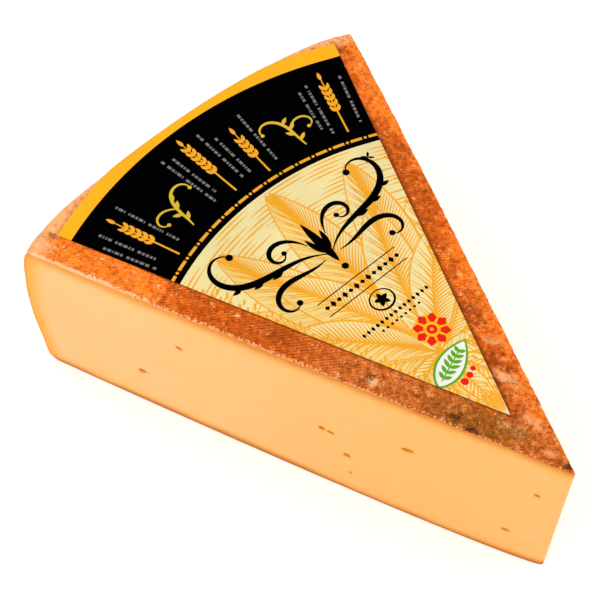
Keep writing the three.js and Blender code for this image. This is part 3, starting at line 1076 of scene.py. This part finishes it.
def cutOfPaste(v, eyes, seed):
    outline = cutOutline(v, paste["inset"], innerMesh["edgeStep"], innerMesh["rimStep"])
    tipCount = int(height / innerMesh["edgeStep"])
    tipHeights = np.linspace(paste["inset"], height - paste["inset"], tipCount + 1)[1:-1]
    outline = np.vstack((outline, np.column_stack((0 * tipHeights, tipHeights))))

    def spacing(distance, z):
        wanted = paste["spacing"] + 0 * distance
        for eye in eyes:
            away = -eyeInside(eye, distance, z) * eye[3]
            wanted = np.minimum(wanted, paste["eyeSpacing"] + np.clip(away, 0, 9) * 0.8)
        return wanted

    def inside(distance, z):
        return np.minimum(underRind(distance, z, v) - paste["inset"], distance)

    inner = gradedPoints(outline, spacing, inside, paste["eyeSpacing"], seed)
    flat, faces = fillOutline(outline, inner)
    distance, z = flat.T
    wave = crumble(distance, z, 34, seed) + 0.35 * crumble(distance, z, 9, seed + 5)
    fromEdge = np.minimum(inside(distance, z), distance)
    outward = paste["waveHeight"] * wave * easeStep(fromEdge / 6)
    eyeMask = np.zeros(len(distance))
    halo = np.zeros(len(distance))
    for eye in eyes:
        deep = eyeInside(eye, distance, z)
        bowl = np.sqrt(np.clip(1 - (1 - np.clip(deep, 0, 1)) ** 2, 0, 1))
        outward = outward - eye[4] * bowl * easeStep(deep * 5)
        eyeMask = np.maximum(eyeMask, easeStep(deep * 3.4 + 0.3))
        halo = np.maximum(halo, easeStep(1 + deep * 0.8))
    plain, shaped = cutShape(distance, z, v, outward)
    radius, _, _ = sideSection(z + bottomTurn - wheel["bottomShoulder"])
    return {"plain": plain, "shaped": shaped, "faces": faces, "eye": eyeMask, "halo": halo,
            "underTop": height - z, "underSide": reach(v, radius, z) - distance, "overFloor": z,
            "fromPoint": distance}


def addPaste():
    sheets = [cutOfPaste(0, paste["frontEyes"], 141), cutOfPaste(1, paste["farEyes"], 151)]
    sheets += innerShell(paste["inset"])
    masks = ("eye", "halo", "underTop", "underSide", "overFloor", "fromPoint")
    piece = joinSheets("cheesePaste", sheets, masks)
    turnOutward(piece)
    piece.data.set_sharp_from_angle(angle=math.radians(50))
    piece.data.materials.append(pasteFinish())
    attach(piece, "root")
    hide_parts("cheese_wedge")


def pasteFinish():
    finish = Finish("hardCheesePaste")
    product, total, sharpen = finish.product, finish.total, finish.sharpen
    cloudy = finish.noise(42, 3, 0.5)
    mottle = finish.noise(6, 3, 0.5)
    grain = finish.noise(0.7, 2, 0.5)
    fromPoint = finish.mask("fromPoint")
    shade = finish.blend(sharpen(fromPoint, 60, 250), paste["honey"], paste["cream"])
    shade = finish.blend(sharpen(cloudy, 0.42, 0.7, 0.0, 0.35), shade, paste["honey"])
    shade = finish.blend(sharpen(mottle, 0.5, 0.75, 0.0, 0.12), shade, paste["lightMottle"])
    uneven = product(total(cloudy, -0.5), 5.0)
    top = total(finish.mask("underTop"), uneven, product(total(mottle, -0.5), 2.4))
    side = total(finish.mask("underSide"), uneven)
    low = total(finish.mask("overFloor"), uneven)
    barkAndShade = finish.blend(sharpen(fromPoint, 150, 250), paste["barkAndShade"], paste["outerBarkAndShade"])
    # Amber towards the rind on every side, and a brown line right below the rind at the top and the bottom,
    # partly the paste's own darker rim and partly painted shade under the rind's lip and along the floor:
    # each from the depth where it begins to the depth where it is full, and its strength there.
    for depth, begins, full, strength, tint in (
            (top, 14, 1.5, 0.66, paste["amber"]), (side, 12, 1, 0.95, paste["amber"]),
            (low, 11, 1, 0.7, paste["amber"]), (top, 8.5, 0.6, 0.95, barkAndShade),
            (low, 6.6, 0.6, 0.9, paste["lowBarkAndShade"])):
        shade = finish.blend(sharpen(depth, begins, full, 0.0, strength), shade, tint)
    shade = finish.blend(product(finish.mask("halo"), 0.3), shade, paste["amber"])
    # the eyes' hollows darker amber, partly painted shade
    shade = finish.blend(finish.mask("eye"), shade, paste["eyeWallAndShade"])
    finish.set(Base_Color=shade, Roughness=0.5, Specular_IOR_Level=0.14, Subsurface_Weight=0.2,
               Subsurface_Scale=0.0025, Subsurface_Radius=(1.0, 0.55, 0.2))
    finish.bump(total(product(grain, 0.5), mottle), 0.12, 0.4)
    return finish.material


addPaste()

print("stage 4: the label")

axisAngle = math.radians(157)      # the label's middle line, out from its tip
alongX, alongY = math.cos(axisAngle), math.sin(axisAngle)
acrossX, acrossY = math.cos(axisAngle - math.pi / 2), math.sin(axisAngle - math.pi / 2)

inks = {
    "yellow": (colour(243, 172, 30), 0.6),
    "black": (colour(2, 2, 2), 0.8),
    "cream": (colour(229, 212, 151), 0.6),
    "straw": (colour(230, 200, 122), 0.6),
    "orange": (colour(233, 160, 38), 0.6),
    "gold": (colour(210, 172, 52), 0.55),
    "grey": (colour(112, 111, 108), 0.6),
    "red": (colour(226, 30, 14), 0.55),
    "green": (colour(92, 160, 26), 0.55),
    "white": (colour(228, 228, 220), 0.6),
}
inkNames = list(inks)


# A drawing on the label: outlines in millimetres, along the middle line from the tip and across it.
# What is drawn later lies on what was drawn before.
class Drawing:
    def __init__(self):
        self.shapes = []
        self.inkOf = []

    def add(self, ink, outline):
        self.shapes.append(np.asarray(outline, float))
        self.inkOf.append(inkNames.index(ink))

    # a line of changing width, as one outline
    def line(self, ink, points, widths):
        left, right = sidesOf(points, widths)
        self.add(ink, np.vstack((left, right[::-1])))

    # a curling line, as many short pieces, so that it may cross itself
    def brush(self, ink, points, widths):
        left, right = sidesOf(points, widths)
        for k in range(len(left) - 1):
            self.add(ink, [left[k], left[k + 1], right[k + 1], right[k]])

    def disc(self, ink, centre, radius, steps):
        a = np.linspace(0, 2 * math.pi, steps, endpoint=False)
        self.add(ink, np.column_stack((centre[0] + radius * np.cos(a), centre[1] + radius * np.sin(a))))

    def leaf(self, ink, root, heading, length, width, steps=9, bend=0.0):
        middle, turned = bentLine(root, heading, length, bend, steps)
        s = np.linspace(0, 1, steps)
        half = width / 2 * np.sin(math.pi * s ** 0.85) ** 0.8
        half[0] = half[-1] = 0.02
        self.add(ink, np.vstack((middle + turned * half[:, None], (middle - turned * half[:, None])[::-1])))


def sidesOf(points, widths):
    points = np.asarray(points, float)
    tangent = np.gradient(points, axis=0)
    tangent /= np.maximum(1e-9, np.linalg.norm(tangent, axis=1))[:, None]
    normal = np.column_stack((-tangent[:, 1], tangent[:, 0]))
    half = np.maximum(0.03, np.asarray(widths, float) / 2)[:, None] * np.ones((len(points), 1))
    return points + normal * half, points - normal * half


# A line that sets out at a heading in degrees and bends evenly.
def bentLine(root, heading, length, bend, steps):
    s = np.linspace(0, 1, steps)
    angle = math.radians(heading) + math.radians(bend) * s
    step = length / (steps - 1)
    across = np.column_stack((-np.sin(angle), np.cos(angle)))
    return walk(root, angle + math.radians(bend) / steps / 2, step), across


# The points passed when each step goes the way of its angle.
def walk(root, angle, step):
    x = root[0] + np.concatenate(([0], np.cumsum(np.cos(angle[:-1])))) * step
    y = root[1] + np.concatenate(([0], np.cumsum(np.sin(angle[:-1])))) * step
    return np.column_stack((x, y))


# A spiral stroke: its bend grows along it, from one rate to the other in degrees a millimetre.
def spiral(root, heading, length, firstBend, lastBend, steps):
    s = np.linspace(0, 1, steps)
    bends = np.radians(firstBend + (lastBend - firstBend) * s ** 1.6)
    step = length / (steps - 1)
    return walk(root, math.radians(heading) + np.concatenate(([0], np.cumsum(bends[1:] * step))), step)


def labelArc():
    fromX, fromY = np.subtract(labelForm["arcCentre"], labelForm["tip"])
    return np.array((fromX * alongX + fromY * alongY, fromX * acrossX + fromY * acrossY))


arcMiddle = labelArc()


# A fixed number between -1 and 1 for each pair of whole numbers.
def chance(i, j, seed):
    return float(latticeValue(np.array([i]), np.array([j]), seed)[0])


# A place in the printed bands: distance from the arcs' centre and degrees from the middle line.
def bandPlace(radius, degrees):
    a = math.radians(degrees)
    return arcMiddle[0] + radius * math.cos(a), arcMiddle[1] + radius * math.sin(a)


def fieldOutline(radius):
    arc = [bandPlace(radius, degrees) for degrees in np.linspace(-34, 34, 150)]
    return arc + [(-25, 8), (-25, -8)]


foliage = {
    "root": (46, 0),
    "leafWidth": 26,
    "veinPitch": 2.2,
    "veinWidth": 0.98,
    # heading in degrees from the middle line, length and bend of each big leaf
    "leaves": [
        (-64, 66, 26), (64, 66, -26), (-46, 100, 20), (46, 100, -20), (-27, 124, 12), (27, 124, -12),
        (0, 128, 0), (-15, 94, -14), (15, 94, 14), (-36, 76, -14), (36, 76, 14),
    ],
    "smallLeaves": [(150, 34, 14), (-150, 34, -14), (104, 30, 20), (-104, 30, -20), (180, 38, 0)],
    "hedgePitch": 4.6,         # the little filled leaves along both straight edges
}


def hatchedLeaf(drawing, root, heading, length, width, bend):
    steps = 40
    middle, normal = bentLine(root, heading, length, bend, steps)
    s = np.linspace(0, 1, steps)
    half = width / 2 * np.sin(math.pi * s ** 1.15) ** 0.75
    left = middle + normal * half[:, None]
    right = middle - normal * half[:, None]
    drawing.add("cream", np.vstack((left[1:-1:2], right[-2:0:-2])))
    if heading < 5:
        drawing.add("straw", np.vstack((middle[1:-1:2], right[-2:0:-2])))
    count = int(length / foliage["veinPitch"])
    for k in range(1, count - 1):
        for sign in (-1, 1):
            start = k / count
            reachTo = min(0.985, start + 0.13)
            r = np.linspace(0, 1, 6)
            row = (start + (reachTo - start) * r ** 0.8) * (steps - 1)
            spine = np.column_stack([np.interp(row, np.arange(steps), middle[:, axis]) for axis in (0, 1)])
            aside = np.column_stack([np.interp(row, np.arange(steps), normal[:, axis]) for axis in (0, 1)])
            wide = np.interp(row, np.arange(steps), half)
            veinLength = 0.94 if (k % 3 or sign > 0) else 0.62
            vein = spine + aside * (sign * wide * r * veinLength)[:, None]
            weight = foliage["veinWidth"] * (1.15 if sign > 0 else 0.8)
            drawing.line("orange", vein, weight * (1.05 - 0.7 * r))
    drawing.line("orange", left[::2], 0.6 + 0.6 * np.sin(math.pi * s[::2]))
    drawing.line("orange", right[::2], 0.5 + 0.4 * np.sin(math.pi * s[::2]))
    drawing.line("orange", middle[:-1:2], 1.7 - 1.4 * s[:-1:2])


# Little filled leaves in pairs along the field's straight edges, more of them on the front side.
def drawHedge(drawing):
    for side in (-1, 1):
        for k in range(31):
            p = 12 + foliage["hedgePitch"] * k
            turn = 14 * chance(k, side, 203)
            size = 4.6 + 0.05 * turn
            for row in (0, 1):
                q = side * (0.4245 * p - 2.2 - 3.6 * row)
                sparse = side > 0 and p > 55 and k % 3
                if abs(q) > 1 and not sparse and (row == 0 or k % 3):
                    heading = 150 * side + turn * (1 - 2 * row)
                    drawing.leaf("orange", (p, q), heading, size, 1.7 - 0.3 * row, 9, 30)


def drawField(drawing):
    drawing.add("cream", fieldOutline(labelForm["creamRadius"]))
    # long even lines behind the leaves
    for k in range(24):
        radius = 104 + 2.5 * k
        for start in (-30, -17, -4, 9, 22):
            turn = start + 5 * chance(k, start, 201)
            span = np.linspace(turn, turn + 9.5, 9)
            widths = 0.95 * np.sin(np.linspace(0.15, 3, 9))
            drawing.line("orange", [bandPlace(radius, a) for a in span], widths)
    for heading, length, bend in foliage["leaves"]:
        width = foliage["leafWidth"] * (0.6 + length / 250)
        hatchedLeaf(drawing, foliage["root"], heading, length, width, bend)
    for heading, length, bend in foliage["smallLeaves"]:
        hatchedLeaf(drawing, foliage["root"], heading, length, 12, bend)
    drawHedge(drawing)
    for k in range(-4, 5):
        drawing.leaf("orange", (20, 1.9 * k), 180 + 5.4 * k, 17.6, 0.85)


# An ear of grain: a thin stem with pairs of grains that stand apart, drawn outwards.
def drawEar(drawing, ink, radius, degrees, length, size):
    root = bandPlace(radius, degrees)
    tip = bandPlace(radius + length, degrees)
    drawing.line(ink, np.linspace(root, tip, 6), np.linspace(1.1, 0.6, 6))
    count = int(length * 0.6 / size)
    for k in range(count):
        place = bandPlace(radius + length * 0.4 + k * size, degrees)
        for sign in (-1, 1):
            drawing.leaf(ink, place, degrees + sign * 50, size * 1.35, size * 0.56, 9, -sign * 44)
    drawing.leaf(ink, tip, degrees, size * 1.5, size * 0.55)


# A vine of two scrolls with small leaves.
def drawVine(drawing, ink, radius, degrees, size, side):
    root = bandPlace(radius, degrees)
    stem = spiral(root, degrees + 16 * side, size * 1.5, -1.2 * side, 15 * side, 44)
    drawing.brush(ink, stem, 0.5 + 1.3 * np.sin(np.linspace(0.2, 3.0, 44)))
    branch = spiral(stem[15], degrees - 34 * side, size * 0.9, -4 * side, -21 * side, 30)
    drawing.brush(ink, branch, 0.4 + 0.9 * np.sin(np.linspace(0.3, 3.0, 30)))
    for end in (stem[-1], branch[-1]):
        drawing.disc(ink, end, 1.1, 12)
    for k in (5, 10, 15, 21):
        drawing.leaf(ink, stem[k], degrees + (50 if k % 2 else -50), 5.4, 2.2)


# A row of small bars of many lengths, outwards.
def drawBars(drawing, ink, radius, degrees, length, seed):
    at = radius
    k = 0
    while at < radius + length:
        bar = 1.6 + 1.1 * chance(k, seed, 205)
        drawing.line(ink, [bandPlace(at, degrees), bandPlace(at + bar, degrees)], [1.5, 1.5])
        at += bar + (0.75 if (k + seed) % 5 else 2.2)
        k += 1


band = {
    # degrees, radius and length of each ear; a vine has its size and its side too
    "ears": [(-18.9, 172, 38), (-2.9, 174, 40), (4.1, 172, 30), (20.2, 174, 38)],
    "vines": [(-12.8, 176, 25, 1), (12.5, 176, 25, -1)],
    "bars": [
        (-23.2, 178, 30), (-21.6, 181, 33), (-16.6, 177, 38), (-6.9, 177, 36), (-5.5, 181, 30),
        (-0.2, 178, 36), (1.4, 178, 27), (6.5, 176, 38), (16.3, 181, 26), (17.7, 176, 34), (23.0, 178, 34),
    ],
    "beltRadius": 167.3,
}


def drawBand(drawing):
    for degrees, radius, length in band["ears"]:
        drawEar(drawing, "orange", radius, degrees, length, 3.9)
    for degrees, radius, size, side in band["vines"]:
        drawVine(drawing, "gold", radius, degrees, size, side)
    for seed, (degrees, radius, length) in enumerate(band["bars"]):
        drawBars(drawing, "grey", radius, degrees, length, seed)
    # a belt of short strokes with a bead in each gap
    for k in range(15):
        degrees = -24.2 + 3.46 * k
        span = np.linspace(degrees - 1.1, degrees + 1.1, 7)
        drawing.line("orange", [bandPlace(band["beltRadius"], a) for a in span], 1.7 * np.ones(7))
        drawing.disc("orange", bandPlace(band["beltRadius"], degrees + 1.73), 0.85, 12)


# A calligraphic scroll in black, the same to both sides of the middle line.
def drawScroll(drawing, level):
    steps = 80
    swelling = np.sin(np.linspace(0.05, math.pi - 0.05, steps)) ** 1.3
    for side in (-1, 1):
        # start, heading, length, first and last bend, swell and end bead of each stroke
        for start, heading, length, bends, swell, bead in (
                ((level - 6, 2), 52, 84, (1.9, -9.5), 3.4, 2.0),
                ((level - 8, 5), 98, 52, (-2.2, 15), 2.7, 1.7),
                ((level + 4, 6), 20, 40, (2.0, 19), 2.3, 1.5)):
            stroke = spiral(start, heading, length, bends[0], bends[1], steps) * (1, side)
            drawing.brush("black", stroke, 0.45 + swell * swelling)
            drawing.disc("black", stroke[-1], bead, 14)
            if length > 80:
                for k, size in ((23, 8), (34, 7), (45, 6)):
                    drawing.leaf("black", stroke[k], 120 * side, size, 2.7, 9, -40 * side)
        drawing.leaf("black", (level - 6, 0), 34 * side, 15, 3.4, 11, -30 * side)
    drawing.leaf("black", (level - 13, 0), 0, 30, 5.0, 15)
    drawing.disc("black", (level - 17, 0), 1.9, 14)


def drawFlower(drawing, centre):
    drawing.disc("yellow", centre, 8.9, 36)
    for k in range(8):
        drawing.leaf("red", centre, 45 * k, 9.6, 6.6, 11)
    for k in range(8):
        heading = 45 * k + 22.5
        a = math.radians(heading)
        root = (centre[0] + 3.2 * math.cos(a), centre[1] + 3.2 * math.sin(a))
        drawing.leaf("yellow", root, heading, 4.8, 1.3)
    drawing.disc("yellow", centre, 4.2, 26)
    drawing.disc("red", centre, 2.7, 18)
    drawing.disc("orange", centre, 1.0, 12)


# A green sprig on a white leaf with a green rim.
def drawSprig(drawing, centre, heading):
    turn = math.radians(heading)
    along = np.array((math.cos(turn), math.sin(turn)))
    end = np.array(centre) - 14 * along
    drawing.leaf("green", end - 1.4 * along, heading, 30.8, 14.6, 25)
    drawing.leaf("white", end, heading, 28, 12.0, 25)
    stem = np.array([end + along * distance for distance in np.linspace(3, 23, 13)])
    drawing.line("green", stem, np.full(13, 0.7))
    for k in range(1, 12, 2):
        for sign in (-1, 1):
            drawing.leaf("green", stem[k], heading + sign * 52, 5.6 - 0.3 * abs(k - 5), 2.1, 9)
    aside = np.array((along[1], -along[0]))
    for distance, away, size in ((-6, -9.6, 2.0), (-1.6, -10.2, 1.7), (2.4, -10.0, 1.4)):
        drawing.disc("red", np.array(centre) + distance * along + away * aside, size, 16)


def drawLozenge(drawing, centre, high, wide):
    p, q = centre
    drawing.add("black", [(p - high, q), (p, q + wide), (p + high, q), (p, q - wide)])


def drawSmallMarks(drawing):
    for level in (96.0, 105.0):
        drawing.line("black", [(level, -26), (level, 0), (level, 26)], [0.6] * 3)
    for k in range(13):
        drawLozenge(drawing, (100.5, -23.4 + 3.9 * k), 2.1 if k % 2 else 1.4, 1.5)
    ring = np.array([(86.5 + 5.8 * math.cos(a), 6.6 * math.sin(a)) for a in np.linspace(0, 2 * math.pi, 49)])
    drawing.brush("black", ring, 0.6 + 0.6 * np.sin(np.linspace(0, math.pi, 49)))
    for k in range(5):
        drawing.leaf("black", (86.5, 0), 72 * k, 4.3, 2.6)
    for k in range(15):
        q = -21 + 3.0 * k
        drawLozenge(drawing, (77.0, q), 1.5, 1.0)
        if 2 < k < 12:
            drawing.disc("black", (73.0, q), 0.75, 10)
    for k in range(4):
        drawing.leaf("black", (155, 55), 45 + 90 * k, 3.8, 1.4)


def drawLabel():
    drawing = Drawing()
    drawing.add("black", fieldOutline(labelForm["blackRadius"]))
    drawBand(drawing)
    drawField(drawing)
    drawScroll(drawing, 130)
    drawSmallMarks(drawing)
    drawFlower(drawing, (58, 6))
    drawSprig(drawing, (38, -0.5), 70)
    return drawing


def distanceToCircle(dx, dy, centre, radius):
    fromX, fromY = np.subtract(centre, labelForm["tip"])
    along = dx * fromX + dy * fromY
    return along + np.sqrt(along ** 2 - fromX ** 2 - fromY ** 2 + radius ** 2)


def labelOutline():
    tip = np.array(labelForm["tip"])
    toFront = np.array(labelForm["frontCorner"]) - tip
    toFar = np.array(labelForm["farCorner"]) - tip
    start = math.atan2(toFront[1], toFront[0]) % (2 * math.pi)
    end = math.atan2(toFar[1], toFar[0])
    rays = 180
    angle = np.linspace(start, end, rays)
    dx, dy = np.cos(angle), np.sin(angle)
    toArc = distanceToCircle(dx, dy, labelForm["arcCentre"], labelForm["arcRadius"])
    toRim = distanceToCircle(dx, dy, wheel["rimCentre"], wheel["rimRadius"] + labelForm["overhang"])
    share = (math.pi - np.arctan2(tip[1] + dy * toRim, tip[0] + dx * toRim)) / wheel["wedgeAngle"]
    trim = labelForm["frontTrim"] * easeStep((0.3 - np.linspace(0, 1, rays)) / 0.14)
    whole = np.minimum(toArc, toRim + fullnessAt(share)) - trim
    arc = tip + np.column_stack((dx, dy)) * whole[:, None]
    steps = np.linspace(0, 1, 160)[:-1, None]
    front = tip + (arc[0] - tip) * steps
    far = arc[-1] + (tip - arc[-1]) * steps
    return np.vstack((front, arc[:-1], far))


# The paper follows the top face, and past the rim it rolls over the shoulder.
def labelSurface(flat, lift):
    x, y = flat.T
    cx, cy = wheel["rimCentre"]
    radius = np.hypot(x - cx, y - cy)
    flatEnd = wheel["rimRadius"] - wheel["topShoulder"] + radius - fromRimCentre(x, y)
    beyond = np.maximum(0, radius - flatEnd)
    turn = np.minimum(beyond / wheel["topShoulder"], math.pi / 2)
    drop = np.maximum(0, beyond - topTurn)
    z = height - wheel["topShoulder"] * (1 - np.cos(turn)) - drop
    ring = flatEnd + wheel["topShoulder"] * np.sin(turn) + bulgeAt(z) + lift * np.sin(turn)
    over = beyond > 0
    scale = np.where(over, ring / radius, 1)
    edgeScale = np.where(over, flatEnd / radius, 1)
    relief = topRelief(cx + (x - cx) * edgeScale, cy + (y - cy) * edgeScale)
    return np.column_stack((cx + (x - cx) * scale, cy + (y - cy) * scale,
                            np.where(over, z, height) + relief + lift * np.cos(turn)))


def labelLift(flat):
    x, y = flat.T
    nearFar = easeStep(1 - underFar(x, y) / 7)
    curl = labelForm["farEdgeLift"] * nearFar * (0.6 + 0.5 * lumps(x, y, 34, 211))
    ripple = 0.05 * crumble(x, y, 17, 213)
    return labelForm["lift"] + curl + ripple


# The paper's outline and the drawing's shapes in their places on the top, and the ink of each.
def placedShapes(outline):
    drawing = drawLabel()
    shapes = [counterClockwise(outline)]
    for p, q in [shape.T for shape in drawing.shapes]:
        placed = np.column_stack((p * alongX + q * acrossX, p * alongY + q * acrossY))
        shapes.append(counterClockwise(labelForm["tip"] + placed))
    return shapes, [inkNames.index("yellow")] + drawing.inkOf


# The label's upper face, cut along the outline of every shape, and the ink of each triangle.
def printedFace(shapes, inkOf, inner):
    corners = [Vector(p) for p in np.vstack(shapes + [inner]).tolist()]
    loops = []
    start = 0
    for shape in shapes:
        loops.append(list(range(start, start + len(shape))))
        start += len(shape)
    found, _, faces, _, _, owners = delaunay_2d_cdt(corners, [], loops, 1, 1e-4)
    flat = np.array([tuple(p) for p in found])
    kept = [k for k, owner in enumerate(owners) if 0 in owner]
    ink = np.array([inkOf[max(owners[k])] for k in kept])
    return flat, np.array([faces[k] for k in kept]), ink


def addLabel():
    outline = labelOutline()
    finest = 0.9

    def inside(x, y):
        rolled = wheel["rimRadius"] + labelForm["overhang"] - fromRimCentre(x, y)
        return np.minimum(underLabel(x, y), rolled)

    def spacing(x, y):
        overShoulder = fromRimCentre(x, y) > wheel["rimRadius"] - wheel["topShoulder"] - 1
        return np.where(overShoulder, finest, labelForm["gridStep"])

    inner = gradedPoints(outline, spacing, inside, finest, 221)
    flat, faces, ink = printedFace(*placedShapes(outline), inner)
    edge = outerLoop(faces)
    under, underFaces = fillOutline(flat[edge], gradedPoints(outline, spacing, inside, finest, 222))
    top = labelSurface(flat, labelLift(flat) + labelForm["thickness"])
    low = labelSurface(under, labelLift(under))
    # walls between the two faces, in the ink of the triangle beside them
    inkBeside = {}
    for face, number in zip(faces.tolist(), ink.tolist()):
        for a, b in zip(face, face[1:] + face[:1]):
            inkBeside[a, b] = number
    home = {tuple(np.round(p, 5)): k for k, p in enumerate(under.tolist())}
    lower = [home[tuple(np.round(p, 5))] + len(top) for p in flat[edge].tolist()]
    walls = []
    wallInk = []
    for k in range(len(edge)):
        m = (k + 1) % len(edge)
        walls += [(edge[k], lower[k], lower[m]), (edge[k], lower[m], edge[m])]
        wallInk += [inkBeside[edge[k], edge[m]]] * 2
    everyFace = np.vstack((faces, underFaces + len(top), np.array(walls)))
    everyInk = np.concatenate((ink, np.full(len(underFaces), inkNames.index("cream")), wallInk))
    piece = meshObject("labelSheet", toMetres(np.vstack((top, low))), everyFace, {})
    for name in inkNames:
        piece.data.materials.append(inkFinish(name))
    piece.data.polygons.foreach_set("material_index", everyInk.astype(np.int32))
    turnOutward(piece)
    piece.data.set_sharp_from_angle(angle=math.radians(50))
    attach(piece, "root")
    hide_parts("label")


# The corners along a sheet's open edge, in order.
def outerLoop(faces):
    following = {}
    seen = set()
    for a, b, c in faces.tolist():
        seen.update(((a, b), (b, c), (c, a)))
    for a, b in seen:
        if (b, a) not in seen:
            following[a] = b
    start = next(iter(following))
    loop = [start]
    while following[loop[-1]] != start:
        loop.append(following[loop[-1]])
    return loop


def inkFinish(name):
    shade, roughness = inks[name]
    finish = Finish("paper" + name.capitalize())
    cloudy = finish.noise(30, 2, 0.5)
    fibre = finish.noise(0.5, 3, 0.6)
    darker = tuple(value * 0.86 for value in shade[:3]) + (1.0,)
    tinted = finish.blend(finish.sharpen(cloudy, 0.4, 0.75, 0.0, 0.6), shade, darker)
    tinted = finish.blend(finish.sharpen(fibre, 0.45, 0.8, 0.0, 0.18), tinted, darker)
    finish.set(Base_Color=tinted, Roughness=roughness, Specular_IOR_Level=0.0 if name == "black" else 0.04)
    finish.bump(fibre, 0.08, 0.15)
    return finish.material


addLabel()
